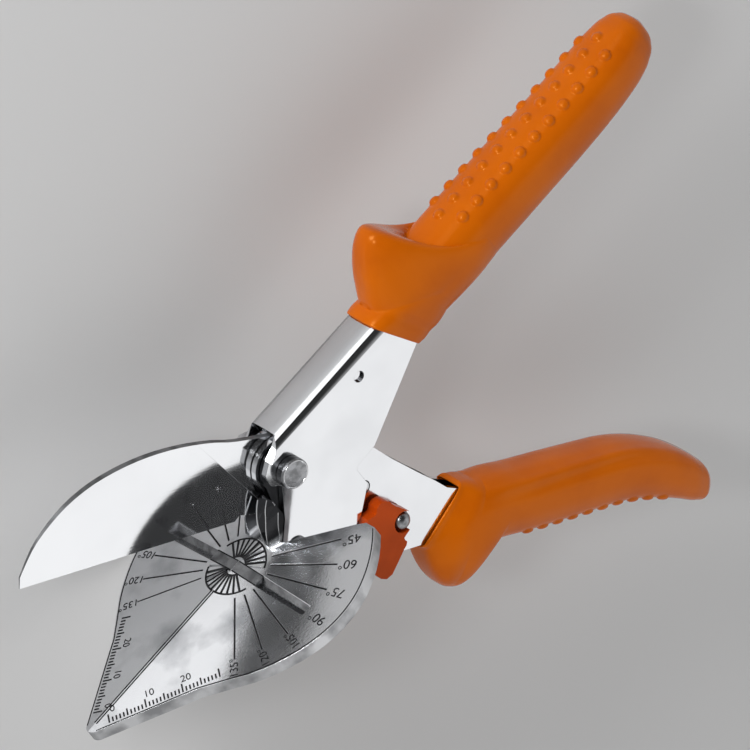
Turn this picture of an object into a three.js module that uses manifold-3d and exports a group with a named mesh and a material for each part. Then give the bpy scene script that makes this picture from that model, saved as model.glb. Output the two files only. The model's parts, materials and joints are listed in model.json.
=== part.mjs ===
// Mitre shears, lying on their side with the jaws sprung open.
// +X runs from the anvil's nose back along the handles, +Y from the anvil's face up to the
// blade, +Z across the tool to the side where the pivot bolt's head shows. Millimetres.
// While the model is built, zero is the protractor's centre on the anvil's ridge. At the end
// the whole is moved so that zero is the middle of the underside of its bounding box.

import * as THREE from 'three';
import { mergeVertices } from 'three/addons/utils/BufferGeometryUtils.js';
import Module from 'manifold-3d';

const wasm = await Module();
wasm.setup();

// Fits shared by all pieces
const seatGap = 0.2;
const runGap = 0.3;
const overrun = 5;
// Finest detail kept on a grip, so that no sliver of a face is left where a dot meets the sleeve
const smallest = 0.05;
const sheet = 1.7;

// Pivot, and how far the handles stand open at rest
const pivot = { x: 24.2, y: 13.3, shank: 2.5 };
const openAngle = THREE.MathUtils.degToRad(36.2);

// Stack across the tool, as half widths: blade, lower handle, casting's cheeks, upper handle
const bladeHalf = 0.95;
const neckInner = bladeHalf + runGap;
const neckOuter = neckInner + sheet;
const lowerInner = 2.4;
const lowerOuter = lowerInner + sheet;
const cheekInner = neckOuter + runGap;
const cheekOuter = lowerOuter + seatGap;
const upperInner = cheekOuter + runGap;
const upperOuter = upperInner + sheet;

const plate = {
  nose: 55.3,
  noseRound: 2.2,
  noseHalfAngle: THREE.MathUtils.degToRad(34.3),
  straightShare: 0.8,
  radius: 37.3,
  thick: 3.4,
  roof: THREE.MathUtils.degToRad(6),
  shoulderAngle: THREE.MathUtils.degToRad(138),
  heelAngle: THREE.MathUtils.degToRad(43.5),
  heelRadius: 35.2,
  backAngle: THREE.MathUtils.degToRad(45),
  neck: 11.2,
};
// The rim draws in from the heel to the shoulder: where that starts and ends, and by how much
const rimShares = { start: 0.28, end: 0.88, fall: 0.083, bow: 0.9 };
const engraving = {
  first: 45,
  step: 15,
  last: 135,
  inner: 9.8,
  outer: 28.4,
  wide: 0.5,
  deep: 0.35,
  square: 90,
  slotWide: 3.4,
  slotDeep: 1.3,
  slotInner: 8.6,
  slotOuter: 27,
};
const rosette = { radius: 8.4, hub: 1.6, deep: 0.4, ribs: 6, rib: 0.75 };
const keel = { front: 11.4, back: 19.8, depth: 15.4, round: 3, rise: 4.5 };
const anvilPin = { radius: 1.6, frontX: 14.1, frontY: -5.6, rearX: 17, rearY: -12 };
const pinHeadShares = { head: 1.6, crown: 0.6, shoulder: 0.85 };
const ear = { radius: 6.8, foot: 18, rear: 29 };
const bladeSlot = { half: neckInner, radius: 18.3 };

const plough = { height: 14.2, front: 8.4, rear: 16, wall: 6.1, wallShare: 0.42, meetShare: 0.99 };
const upper = { top: 23.3, webFront: 27.4, wallBottom: 12.2, end: 150, bend: 3.2, hole: 1.5 };
const upperHole = { x: 52.9, y: 16.6 };
const wall = {
  front: 11.6,
  leadShare: 0.25,
  depth: 17,
  notchX: 37.8,
  notchY: 3,
  corner: 0.7,
  heelX: 45.1,
  heelY: 2.7,
  gripX: 69.5,
  gripY: 9.4,
};

const lower = { web: -19.8, end: 128, head: 7.8, headStart: 80, headEnd: 205, top: -10.5 };
const lowerWall = {
  left: 44,
  lift: 2.3,
  neckEnd: 37,
  shoulderX: 42,
  wideStart: 43,
  topStart: 52,
  gripX: 79.6,
  gripRun: 8,
};

const blade = { tip: -53.1, edge: 0.3, height: 25.4, heel: 12.3, land: 0.15 };
// The grind runs from the edge almost to the spine, and ends at a slanted line in front of the tang
const grind = { height: 25.2, highX: 2, highY: 22.7, lowX: 16.3, lowY: 7.7 };
const tang = { drop: 1.3, back: 36 };
const bladeRivet = { radius: 1.5, reach: 9.2, spread: 34, tilt: -30 };

const grip = { half: 9.2, side: 8.9, sides: 28 };
// How square a grip's section is along its length and at its front, where 2 is an ellipse
const squareShares = { body: 2.6, front: 5.5 };
const upperGrip = {
  start: 66.7,
  end: 167,
  centre: 17.4,
  guard: 22.1,
  leanShare: 0.46,
  drop: -2.2,
  up: true,
};
const lowerGrip = {
  start: 71,
  end: 158.6,
  centre: -16.3,
  guard: 19,
  leanShare: 0.86,
  drop: 12.2,
  up: false,
};
const gripPocket = { gap: 0.2, end: 2, bend: 3 };
const dots = { radius: 1.5, rise: 1, count: 12, side: 33, sides: 8, bands: 4 };
// Each dot is turned a little, in radians, so that its corners miss the lines between the sleeve's faces
const dotTurn = { spin: 0.2, tilt: 0.1 };

const bolt = { head: 3.8, rise: 2.1, crown: 2.3, tail: 0.8 };
const boltHeadShares = { side: 0.35, shoulder: 0.93, shoulderRise: 0.68, crownRise: 0.92 };
const nut = { flats: 8, thick: 3.6 };
const washer = { radius: 4.8, thick: 0.8 };

const catchLever = { thick: 3.6, tongue: 1.2, x: 58.4, y: -9.4, bore: 1.5, height: 21.4, width: 12.6 };
const catchRivet = { head: 2.4, rise: 2.8, notch: 3 };
const rivetHeadShares = { side: 0.7, shoulder: 0.85, shoulderRise: 0.9, crown: 0.5 };
const catchWasher = { radius: 2.4, thick: 0.4 };

// The leg's angles are where it points, from +X towards +Y with the tool closed
const spring = { x: 49, y: 1, wire: 0.8, pitch: 1.25, turns: 2, steps: 8, sides: 5 };
const springLeg = { upAngle: 103, downAngle: -58 };
const springPost = { radius: 1.7 };

const finish = {
  chrome: { color: 0xd4d8dc, metalness: 1, roughness: 0.16 },
  casting: { color: 0xb9bdc1, metalness: 1, roughness: 0.32 },
  steel: { color: 0xe3e6e9, metalness: 1, roughness: 0.08 },
  fastener: { color: 0xc9ccd0, metalness: 1, roughness: 0.22 },
  spring: { color: 0x8f949a, metalness: 1, roughness: 0.35 },
  soft: { color: 0xd2600c, metalness: 0, roughness: 0.34 },
  plastic: { color: 0xc8400a, metalness: 0, roughness: 0.42 },
};

// Turning geometry into solids and back

function solid(geometry) {
  geometry.deleteAttribute('normal');
  geometry.deleteAttribute('uv');
  const merged = mergeVertices(geometry, 1e-4);
  const vertProperties = new Float32Array(merged.attributes.position.array);
  const triVerts = new Uint32Array(merged.index.array);
  return new wasm.Manifold(new wasm.Mesh({ numProp: 3, vertProperties, triVerts }));
}

function geometryOf(body) {
  const { vertProperties, triVerts } = body.getMesh();
  const geometry = new THREE.BufferGeometry();
  geometry.setAttribute('position', new THREE.BufferAttribute(vertProperties, 3));
  geometry.setIndex(new THREE.BufferAttribute(triVerts, 1));
  geometry.computeVertexNormals();
  return geometry;
}

function node(name, body, look) {
  const mesh = new THREE.Mesh(geometryOf(body), new THREE.MeshStandardMaterial(look));
  mesh.name = name;
  return mesh;
}

// Basic forms

function shapeOf(points) {
  return new THREE.Shape(points.map(([x, y]) => new THREE.Vector2(x, y)));
}

function slab(shape, low, high, curveSegments = 6) {
  const depth = high - low;
  const geometry = new THREE.ExtrudeGeometry(shape, { depth, bevelEnabled: false, curveSegments });
  geometry.translate(0, 0, low);
  return solid(geometry);
}

function round(x, y, radius, low, high, sides = 32) {
  const geometry = new THREE.CylinderGeometry(radius, radius, high - low, sides);
  geometry.rotateX(Math.PI / 2);
  geometry.translate(x, y, (low + high) / 2);
  return solid(geometry);
}

function block(x0, x1, y0, y1, z0, z1) {
  const geometry = new THREE.BoxGeometry(x1 - x0, y1 - y0, z1 - z0);
  geometry.translate((x0 + x1) / 2, (y0 + y1) / 2, (z0 + z1) / 2);
  return solid(geometry);
}

// A closed curve through points given as shares of a width and a height
function fromShares(shares, x, y, width, height) {
  return shares.map(([a, b]) => [x + a * width, y + b * height]);
}

function smooth(points, divisions) {
  const curve = new THREE.CatmullRomCurve3(points.map(([x, y]) => new THREE.Vector3(x, y, 0)),
    false, 'centripetal');
  return curve.getPoints(divisions).map((p) => [p.x, p.y]);
}

// Rings of equal length, each an array of [x, y, z], skinned into one closed body
function loft(rings) {
  const count = rings[0].length;
  const positions = rings.flat(2);
  const index = [];
  for (let r = 0; r + 1 < rings.length; r += 1) {
    for (let i = 0; i < count; i += 1) {
      const a = r * count + i;
      const b = r * count + ((i + 1) % count);
      index.push(a, b, b + count, a, b + count, a + count);
    }
  }
  const centre = (ring) => ring.reduce((s, p) => s.map((v, k) => v + p[k] / count), [0, 0, 0]);
  positions.push(...centre(rings[0]), ...centre(rings[rings.length - 1]));
  const first = rings.length * count;
  const lastStart = (rings.length - 1) * count;
  for (let i = 0; i < count; i += 1) {
    const j = (i + 1) % count;
    index.push(first, j, i);
    index.push(first + 1, lastStart + i, lastStart + j);
  }
  const geometry = new THREE.BufferGeometry();
  geometry.setAttribute('position', new THREE.Float32BufferAttribute(positions, 3));
  geometry.setIndex(index);
  return solid(geometry);
}

function outward(body) {
  if (body.volume() > 0) return body;
  throw new Error('a lofted body came out inside out');
}

// Anvil casting

function polar(radius, angle) {
  return [radius * Math.cos(angle), radius * Math.sin(angle)];
}

// A point on the rim, at a share of the way from the heel to the shoulder
function rimPoint(share) {
  const { start, end, fall } = rimShares;
  const ease = THREE.MathUtils.smoothstep(share, start, end);
  const angle = THREE.MathUtils.lerp(plate.heelAngle, plate.shoulderAngle, share);
  return polar(plate.radius * (1 - fall * ease), angle);
}

function wingOutline() {
  const { nose, noseHalfAngle, noseRound, radius, neck, backAngle } = plate;
  const points = [[-nose, 0]];
  const start = -nose - noseRound * (1 / Math.sin(noseHalfAngle) - 1);
  const centre = start + noseRound / Math.sin(noseHalfAngle);
  const lean = Math.PI / 2 + noseHalfAngle;
  const noseSteps = 4;
  for (let i = 1; i <= noseSteps; i += 1) {
    const [x, z] = polar(noseRound, Math.PI - (i / noseSteps) * (Math.PI - lean));
    points.push([centre + x, z]);
  }
  const shoulder = rimPoint(1);
  const straightEnd = -nose + (shoulder[0] + nose) * plate.straightShare;
  const straight = [straightEnd, (straightEnd - start) * Math.tan(noseHalfAngle)];
  points.push(...smooth([straight, shoulder, rimPoint(rimShares.bow)], 6));
  const arcSteps = 16;
  for (let i = 1; i <= arcSteps; i += 1) {
    points.push(rimPoint(rimShares.bow * (1 - i / arcSteps)));
  }
  const wallSide = upperOuter + runGap;
  const heel = polar(plate.heelRadius, plate.heelAngle - noseRound / radius);
  points.push(heel);
  const backZ = heel[1] - noseRound;
  points.push([neck + (backZ - wallSide) / Math.tan(backAngle), backZ]);
  points.push([neck, wallSide], [neck, cheekOuter], [plough.rear, cheekOuter], [plough.rear, 0]);
  return points;
}

// Tilts geometry to one wing's slope
function tilted(geometry, side) {
  const place = geometry.attributes.position;
  for (let i = 0; i < place.count; i += 1) {
    place.setY(i, place.getY(i) - Math.tan(plate.roof) * side * place.getZ(i));
  }
  return geometry;
}

// Everything under one wing's plane
function underWing(side, high) {
  const reach = 2 * plate.nose;
  const geometry = new THREE.BoxGeometry(2 * reach, reach, 2 * reach);
  geometry.translate(0, high - reach / 2, 0);
  return solid(tilted(geometry, side));
}

// Both wings fall away from the ridge, above and below
function roofedPlate() {
  const near = wingOutline();
  const far = near.slice(1, -1).reverse().map(([x, z]) => [x, -z]);
  const depth = plate.thick + plate.radius * Math.tan(plate.roof) + overrun;
  const outline = shapeOf([...near.slice(0, -1), ...far]);
  const geometry = new THREE.ExtrudeGeometry(outline, { depth: depth + overrun, bevelEnabled: false });
  geometry.rotateX(Math.PI / 2);
  geometry.translate(0, overrun, 0);
  const under = underWing(1, -plate.thick).intersect(underWing(-1, -plate.thick));
  return solid(geometry).intersect(underWing(1, 0)).intersect(underWing(-1, 0)).subtract(under);
}

// A straight cut in one wing's face, from one radius to another at a protractor angle
function faceCut(side, degrees, inner, outer, wide, deep) {
  const geometry = new THREE.BoxGeometry(outer - inner, deep * 2, wide);
  geometry.translate((inner + outer) / 2, 0, 0);
  geometry.rotateY(-side * THREE.MathUtils.degToRad(degrees));
  return solid(tilted(geometry, side));
}

function valley(side, degrees, inner, outer, wide, deep) {
  const half = wide / 2;
  const section = shapeOf([[-half, deep], [half, deep], [half, 0], [0, -deep], [-half, 0]]);
  const geometry = new THREE.ExtrudeGeometry(section, { depth: outer - inner, bevelEnabled: false });
  geometry.translate(0, 0, inner);
  geometry.rotateY(Math.PI / 2 - side * THREE.MathUtils.degToRad(degrees));
  return solid(tilted(geometry, side));
}

function engravings(side) {
  const cuts = [];
  const { first, step, last, inner, outer, wide, deep, square } = engraving;
  for (let angle = first; angle <= last; angle += step) {
    if (angle !== square) cuts.push(faceCut(side, angle, inner, outer, wide, deep));
  }
  const { slotInner, slotOuter, slotWide, slotDeep } = engraving;
  cuts.push(valley(side, square, slotInner, slotOuter, slotWide, slotDeep));
  return cuts;
}

// Radial ribs stand in two opposite quarters of the round field at the centre
function rosetteCuts() {
  const cuts = [];
  const { radius, hub, deep, ribs, rib } = rosette;
  for (let i = 0; i < ribs; i += 1) {
    const angle = (90 * (i + 0.5)) / ribs;
    cuts.push(faceCut(1, angle, hub, radius, rib, deep));
    cuts.push(faceCut(-1, 180 - angle, hub, radius, rib, deep));
  }
  return cuts;
}

// Rim and crease of the plough at rising heights: [height, rim x, rim z, crease x, crease z]
const ploughShares = [
  [-0.22, 0.02, 0.56, 0.0, 0.74],
  [0.0, 0.02, 0.55, 0.0, 0.75],
  [0.26, 0.15, 0.49, 0.26, 0.72],
  [0.44, 0.3, 0.42, 0.5, 0.7],
  [0.63, 0.62, 0.3, 0.76, 0.68],
  [0.74, 0.86, 0.25, 1.0, 0.66],
];

function ploughSide(side) {
  const run = plough.rear - plough.front;
  const rings = ploughShares.map(([up, rimX, rimZ, creaseX, creaseZ]) => {
    const y = up * plough.height;
    const wallX = Math.min(plough.rear, plough.front + run * (creaseX + plough.wallShare));
    const points = [
      [plough.rear + seatGap, bladeSlot.half],
      [plough.front + run * rimX, Math.max(bladeSlot.half, rimZ * plough.wall)],
      [plough.front + run * creaseX, creaseZ * plough.wall],
      [wallX + seatGap / 2, plough.wall * plough.meetShare],
      [plough.rear + seatGap, plough.wall],
    ];
    return (side > 0 ? points : points.reverse()).map(([x, z]) => [x, y, side * z]);
  });
  return outward(loft(rings));
}

function anvil() {
  let body = roofedPlate();
  const keelBody = slab(shapeOf([
    [keel.front, -seatGap], [keel.front, -keel.depth + keel.round],
    [keel.front + keel.round, -keel.depth], [keel.back - keel.round, -keel.depth],
    [keel.back, -keel.depth + keel.round], [keel.back, -keel.depth + keel.rise + keel.round],
    [plough.rear, -seatGap],
  ]), -cheekOuter, cheekOuter);
  body = body.add(keelBody);
  const roomEnd = keel.back + overrun;
  const wallRoom = block(plate.neck + seatGap, roomEnd, -keel.depth, plough.height,
    upperInner - runGap, upperOuter + runGap);
  const farRoom = block(plate.neck + seatGap, roomEnd, -keel.depth, plough.height,
    -upperOuter - runGap, -upperInner + runGap);
  for (const side of [1, -1]) {
    body = body.add(ploughSide(side));
    const inner = side > 0 ? cheekInner : -cheekOuter;
    const outer = side > 0 ? cheekOuter : -cheekInner;
    const foot = slab(shapeOf([
      [keel.front, -keel.round],
      [ear.foot, -keel.round - seatGap],
      [ear.rear, pivot.y - ear.radius / 2],
      [pivot.x, pivot.y],
      [pivot.x - ear.radius, pivot.y],
      [plough.rear, plough.height / 2],
    ]), inner, outer);
    body = body.add(foot).add(round(pivot.x, pivot.y, ear.radius, inner, outer));
  }
  const behindFront = upperWallRoom();
  body = body.subtract(wallRoom.intersect(behindFront)).subtract(farRoom.intersect(behindFront));
  for (const side of [1, -1]) {
    for (const cut of engravings(side)) body = body.subtract(cut);
  }
  for (const cut of rosetteCuts()) body = body.subtract(cut);
  const slot = round(pivot.x, pivot.y, bladeSlot.radius, -bladeSlot.half, bladeSlot.half, 48)
    .add(block(plough.front - overrun / 2, ear.rear + overrun, 0, plough.height + overrun,
      -bladeSlot.half, bladeSlot.half));
  body = body.subtract(slot);
  body = body.subtract(lowerSweep());
  body = body.subtract(round(pivot.x, pivot.y, pivot.shank + seatGap, -upperOuter, upperOuter));
  for (const [x, y] of anvilPinPlaces()) {
    body = body.subtract(round(x, y, anvilPin.radius + seatGap, -upperOuter, upperOuter, 24));
  }
  return node('anvil', body, finish.casting);
}

// Room that the casting leaves for the upper handle's walls
function upperWallRoom() {
  const rear = keel.back + overrun;
  const shape = shapeOf([
    ...wallFrontPoints().map(([x, y]) => [x - runGap, y]),
    [rear, -keel.depth],
    [rear, plough.height + overrun],
  ]);
  return slab(shape, -upperOuter - overrun, upperOuter + overrun);
}

// Room that the casting leaves for the lower handle's neck as it turns
function lowerSweep() {
  const steps = 6;
  const half = cheekInner;
  let room = round(pivot.x, pivot.y, lower.head + seatGap, -half, half, 48);
  for (let i = 0; i <= steps; i += 1) {
    const geometry = new THREE.ExtrudeGeometry(shapeOf(neckPoints(seatGap)),
      { depth: 2 * half, bevelEnabled: false });
    geometry.translate(-pivot.x, -pivot.y, -half);
    geometry.rotateZ((-openAngle * i) / steps);
    geometry.translate(pivot.x, pivot.y, 0);
    room = room.add(solid(geometry));
  }
  return room;
}

// Upper handle

// Front edge of the wall, from the web's front end down to the foot of the lobe
const wallFrontShares = [
  [1.0, 1.0], [0.83, 0.93], [0.62, 0.88], [0.44, 0.8], [0.41, 0.7], [0.43, 0.66], [0.56, 0.58],
];
const wallNeckShares = [[0.25, 0.14], [0.0, -0.05]];
const lobeFrontShares = [[-0.02, -0.4], [0.05, -0.72]];
const lobeFootShares = [[0.26, -0.97], [0.5, -1.0], [0.75, -0.88], [1.0, -0.55]];

function wallFrontPoints() {
  const { front, depth, notchX, leadShare } = wall;
  const run = upper.webFront - front;
  const lead = depth * leadShare;
  return [
    ...fromShares(wallFrontShares, front, -lead, run, upper.top + lead),
    ...fromShares(wallNeckShares, front, 0, run, upper.top),
    ...fromShares(lobeFrontShares, front, 0, notchX - front, depth),
  ];
}

function upperWallPoints() {
  const { front, depth, notchX, notchY, corner, heelX, heelY, gripX, gripY } = wall;
  return [
    ...wallFrontPoints(),
    ...fromShares(lobeFootShares, front, 0, notchX - front, depth),
    [notchX, -notchY - corner],
    [notchX + corner, -notchY],
    [heelX, -heelY],
    [gripX, gripY],
    [gripX + overrun, upper.wallBottom],
    [upper.end, upper.wallBottom],
    [upper.end, upper.top],
  ];
}

// A channel's section across the tool: web at the top, rounded outer corners, open below
function channelSection(inner, outer, top, bottom, bend) {
  const shape = new THREE.Shape();
  shape.moveTo(-outer, bottom);
  shape.lineTo(-outer, top - bend);
  shape.quadraticCurveTo(-outer, top, -outer + bend, top);
  shape.lineTo(outer - bend, top);
  shape.quadraticCurveTo(outer, top, outer, top - bend);
  shape.lineTo(outer, bottom);
  shape.lineTo(inner, bottom);
  const innerBend = bend - sheet / 2;
  shape.lineTo(inner, top - sheet - innerBend);
  shape.quadraticCurveTo(inner, top - sheet, inner - innerBend, top - sheet);
  shape.lineTo(-inner + innerBend, top - sheet);
  shape.quadraticCurveTo(-inner, top - sheet, -inner, top - sheet - innerBend);
  shape.lineTo(-inner, bottom);
  shape.closePath();
  return shape;
}

function upperHandle() {
  const profile = slab(shapeOf(upperWallPoints()), -upperOuter - overrun, upperOuter + overrun);
  const section = channelSection(upperInner, upperOuter, upper.top, -wall.depth - overrun, upper.bend);
  const geometry = new THREE.ExtrudeGeometry(section,
    { depth: upper.end + overrun, bevelEnabled: false, curveSegments: 4 });
  geometry.rotateY(Math.PI / 2);
  let body = solid(geometry).intersect(profile);
  const webRelief = block(0, upper.webFront, pivot.y, upper.top + overrun, -upperInner, upperInner);
  body = body.subtract(webRelief);
  const through = upperOuter + overrun;
  body = body.subtract(round(pivot.x, pivot.y, pivot.shank + seatGap, -through, through));
  body = body.subtract(round(upperHole.x, upperHole.y, upper.hole, -through, through, 24));
  for (const [x, y] of anvilPinPlaces()) {
    body = body.subtract(round(x, y, anvilPin.radius + seatGap, -through, through, 24));
  }
  return node('upper_handle', body, finish.chrome);
}

// Lower handle, drawn as it lies when the tool is closed

function headArc(grow) {
  const reach = lower.head + grow;
  const points = [];
  const steps = 10;
  const from = THREE.MathUtils.degToRad(lower.headStart);
  const to = THREE.MathUtils.degToRad(lower.headEnd);
  for (let i = 0; i <= steps; i += 1) {
    const angle = from + ((to - from) * i) / steps;
    points.push([pivot.x + reach * Math.cos(angle), pivot.y + reach * Math.sin(angle)]);
  }
  return points;
}

function neckFoot(grow) {
  const { left, lift } = lowerWall;
  return [[left - grow, lower.web + lift - grow], [left + lift * 2, lower.web - grow]];
}

function neckPoints(grow) {
  const { lift, shoulderX, topStart } = lowerWall;
  return [
    ...headArc(grow),
    ...neckFoot(grow),
    [topStart, lower.web - grow],
    [topStart, pivot.y - lift],
    [shoulderX, pivot.y + lift + grow],
  ];
}

// Top edge of the lower walls behind the neck, as shares of its run and fall
const lowerTopShares = [
  [0.0, 1.0], [0.2, 0.79], [0.37, 0.63], [0.53, 0.48], [0.7, 0.33], [0.83, 0.2], [1.0, 0.12],
];

function lowerWallPoints() {
  const { lift, shoulderX, topStart, gripX, gripRun } = lowerWall;
  const fall = pivot.y - lift - lower.top;
  const top = fromShares(lowerTopShares, topStart, lower.top, gripX - topStart, fall);
  return [
    ...headArc(0),
    ...neckFoot(0),
    [lower.end, lower.web],
    [lower.end, lower.top],
    [gripX + gripRun, lower.top],
    ...top.reverse(),
    [shoulderX, pivot.y + lift],
  ];
}

// Plan of one wall: close to the blade at the neck, joggled out to the full width behind it
function joggle(side) {
  const front = pivot.x - lower.head - overrun;
  const points = [
    [front, neckInner], [lowerWall.neckEnd, neckInner], [lowerWall.wideStart, lowerInner],
    [lower.end + overrun, lowerInner], [lower.end + overrun, lowerOuter],
    [lowerWall.wideStart, lowerOuter], [lowerWall.neckEnd, neckOuter], [front, neckOuter],
  ];
  const geometry = new THREE.ExtrudeGeometry(shapeOf(points.map(([x, z]) => [x, -side * z])),
    { depth: pivot.y - lower.web + lower.head + 2 * overrun, bevelEnabled: false });
  geometry.rotateX(-Math.PI / 2);
  geometry.translate(0, lower.web - overrun, 0);
  return solid(geometry);
}

function lowerHandle() {
  const profile = slab(shapeOf(lowerWallPoints()), -lowerOuter - overrun, lowerOuter + overrun);
  const webHalf = lowerInner + seatGap;
  const webFront = lowerWall.wideStart - sheet;
  const web = block(webFront, lower.end, lower.web, lower.web + sheet, -webHalf, webHalf);
  let body = joggle(1).add(joggle(-1)).intersect(profile).add(web.intersect(profile));
  const through = lowerOuter + overrun;
  body = body.subtract(round(pivot.x, pivot.y, pivot.shank + seatGap, -through, through));
  for (const [x, y] of bladeRivetPlaces()) {
    body = body.subtract(round(x, y, bladeRivet.radius + seatGap, -through, through, 20));
  }
  body = body.subtract(round(spring.x, spring.y, springPost.radius + seatGap, -through, through, 20));
  body = body.subtract(round(catchLever.x, catchLever.y, catchLever.bore + seatGap, 0, through, 20));
  return node('lower_handle', body, finish.chrome);
}

// Blade, drawn closed: its straight edge lies just over the anvil's ridge

// Spine from the tip back to the pivot, as shares of the blade's length and height
const spineShares = [
  [0.0, 0.12], [0.025, 0.265], [0.057, 0.42], [0.116, 0.6], [0.181, 0.745], [0.268, 0.87],
  [0.358, 0.945], [0.458, 0.99], [0.558, 1.0], [0.657, 0.98], [0.755, 0.933], [0.821, 0.882],
  [0.92, 0.84], [1.0, 0.81],
];
// Back of the tang, as shares of its reach behind the pivot and of the pivot's height
const tangShares = [
  [0.35, 1.46], [0.66, 1.3], [0.93, 1.05], [1.0, 0.7], [0.93, 0.3], [0.66, 0.04], [0.3, -0.07],
];

function bladePoints() {
  const { tip, edge, height, heel } = blade;
  const spine = smooth(fromShares(spineShares, tip, edge, pivot.x - tip, height), 30);
  const back = smooth(fromShares(tangShares, pivot.x, edge, tang.back - pivot.x, pivot.y), 12);
  return [
    [tip, edge],
    [heel, edge],
    [heel + tang.drop, edge + tang.drop],
    ...back.reverse(),
    ...spine.reverse(),
  ];
}

// What the grinding wheel takes off one face: a long wedge that ends at the slanted line
function grindCut(side) {
  const { tip, edge, land } = blade;
  const { height, highX, highY, lowX, lowY } = grind;
  const face = side * (bladeHalf + overrun);
  const section = shapeOf([
    [edge - overrun, side * land],
    [edge, side * land],
    [edge + height, side * bladeHalf],
    [edge + height, face],
    [edge - overrun, face],
  ]);
  const reach = lowX - tip + 2 * overrun;
  const geometry = new THREE.ExtrudeGeometry(section, { depth: reach, bevelEnabled: false });
  geometry.rotateY(Math.PI / 2);
  geometry.rotateX(Math.PI / 2);
  geometry.translate(tip - overrun, 0, 0);
  const slope = (lowX - highX) / (lowY - highY);
  const lineX = (y) => highX + slope * (y - highY);
  const bottom = edge - overrun;
  const top = edge + height + overrun;
  const front = slab(shapeOf([
    [tip - overrun, bottom], [lineX(bottom), bottom], [lineX(top), top], [tip - overrun, top],
  ]), -bladeHalf - overrun, bladeHalf + overrun);
  return solid(geometry).intersect(front);
}

function bladePiece() {
  const through = bladeHalf + overrun;
  let body = slab(shapeOf(bladePoints()), -bladeHalf, bladeHalf);
  body = body.subtract(grindCut(1)).subtract(grindCut(-1));
  body = body.subtract(round(pivot.x, pivot.y, pivot.shank + seatGap, -through, through));
  for (const [x, y] of bladeRivetPlaces()) {
    body = body.subtract(round(x, y, bladeRivet.radius + seatGap, -through, through, 20));
  }
  return node('blade', body, finish.steel);
}

// Two rivets behind the pivot, above and below the handle's line
function bladeRivetPlaces() {
  return [1, -1].map((side) => {
    const angle = THREE.MathUtils.degToRad(side * bladeRivet.spread + bladeRivet.tilt);
    return [pivot.x + bladeRivet.reach * Math.cos(angle), pivot.y + bladeRivet.reach * Math.sin(angle)];
  });
}

function bladeRivets() {
  return bladeRivetPlaces().map(([x, y], i) => {
    const body = round(x, y, bladeRivet.radius, -neckOuter, neckOuter, 20);
    return node(i === 0 ? 'blade_rivet_front' : 'blade_rivet_rear', body, finish.fastener);
  });
}

// Grips

// Stations along a grip, as shares of its length: closer together at the guard and the tail
const gripStationShares = [
  0, 0.02, 0.04, 0.055, 0.07, 0.085, 0.1, 0.115, 0.13, 0.145, 0.16, 0.175, 0.19, 0.205, 0.22, 0.245,
  0.28, 0.36, 0.46, 0.56, 0.66, 0.76, 0.84, 0.9, 0.945, 0.975, 0.992, 1,
];
// Place along the grip, then how full it is on the guard's side, on the other side and across
const upperGripShares = [
  [0, 0.75, 1.05, 0.8], [0.02, 0.78, 1.08, 0.82], [0.04, 0.77, 1.08, 0.81], [0.07, 0.86, 1.07, 0.92],
  [0.11, 0.95, 1.05, 1], [0.16, 1, 1.04, 1.05], [0.24, 1, 1.03, 1.05], [0.3, 1.02, 1.02, 1.03],
  [0.46, 1.02, 1.02, 1.02], [0.66, 0.97, 1.02, 1], [0.84, 0.9, 0.98, 0.97], [0.9, 0.86, 0.92, 0.92],
  [0.945, 0.78, 0.8, 0.81], [0.975, 0.62, 0.62, 0.64], [0.992, 0.38, 0.38, 0.4], [1, 0.12, 0.13, 0.13],
];
const lowerGripShares = [
  [0, 0.49, 1.1, 0.59], [0.02, 0.58, 1.08, 0.62], [0.05, 0.76, 1.05, 0.72], [0.09, 0.93, 1, 0.87],
  [0.14, 1, 1, 0.96], [0.2, 0.97, 1, 1], [0.24, 0.94, 0.98, 1], [0.3, 0.97, 0.93, 1],
  [0.46, 1, 0.86, 0.98], [0.66, 1, 0.75, 0.97], [0.8, 0.96, 0.68, 0.96], [0.88, 0.9, 0.64, 0.93],
  [0.94, 0.8, 0.56, 0.84], [0.975, 0.63, 0.46, 0.68], [0.992, 0.4, 0.3, 0.44], [1, 0.12, 0.1, 0.14],
];
// Where a guard's front foot, its peak and its rear foot are, and how full its two slopes are
const upperGuardShares = { front: 0.045, peak: 0.13, rear: 0.245, rise: 0.95, fall: 0.95 };
const lowerGuardShares = { front: 0.02, peak: 0.135, rear: 0.215, rise: 0.95, fall: 0.75 };
// Where the front's squared collar and its slant end, and the tail's droop starts
const gripRunShares = { collar: 0.12, slant: 0.3, droop: 0.62 };
// The middle row of dots from its first to its last, and where a drooping grip's rows stop
const dotShares = { first: 0.295, last: 0.89, stop: 0.84 };

function sharesAt(table, place) {
  const i = Math.min(table.length - 2, table.findLastIndex((row) => row[0] <= place));
  const [low, high] = [table[i], table[i + 1]];
  const t = (place - low[0]) / (high[0] - low[0]);
  return low.map((value, k) => THREE.MathUtils.lerp(value, high[k], t)).slice(1);
}

function guardAt(size, place) {
  const { front, peak, rear, rise, fall } = size.up ? upperGuardShares : lowerGuardShares;
  const before = place < peak;
  const climb = before ? (place - front) / (peak - front) : (rear - place) / (rear - peak);
  return climb > 0 ? Math.sin((Math.PI / 2) * climb) ** (before ? rise : fall) : 0;
}

function gripDroop(size, place) {
  const { droop } = gripRunShares;
  return size.drop * Math.max(0, (place - droop) / (1 - droop)) ** 2;
}

function superPower(value, square) {
  return Math.sign(value) * Math.abs(value) ** (2 / square);
}

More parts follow.
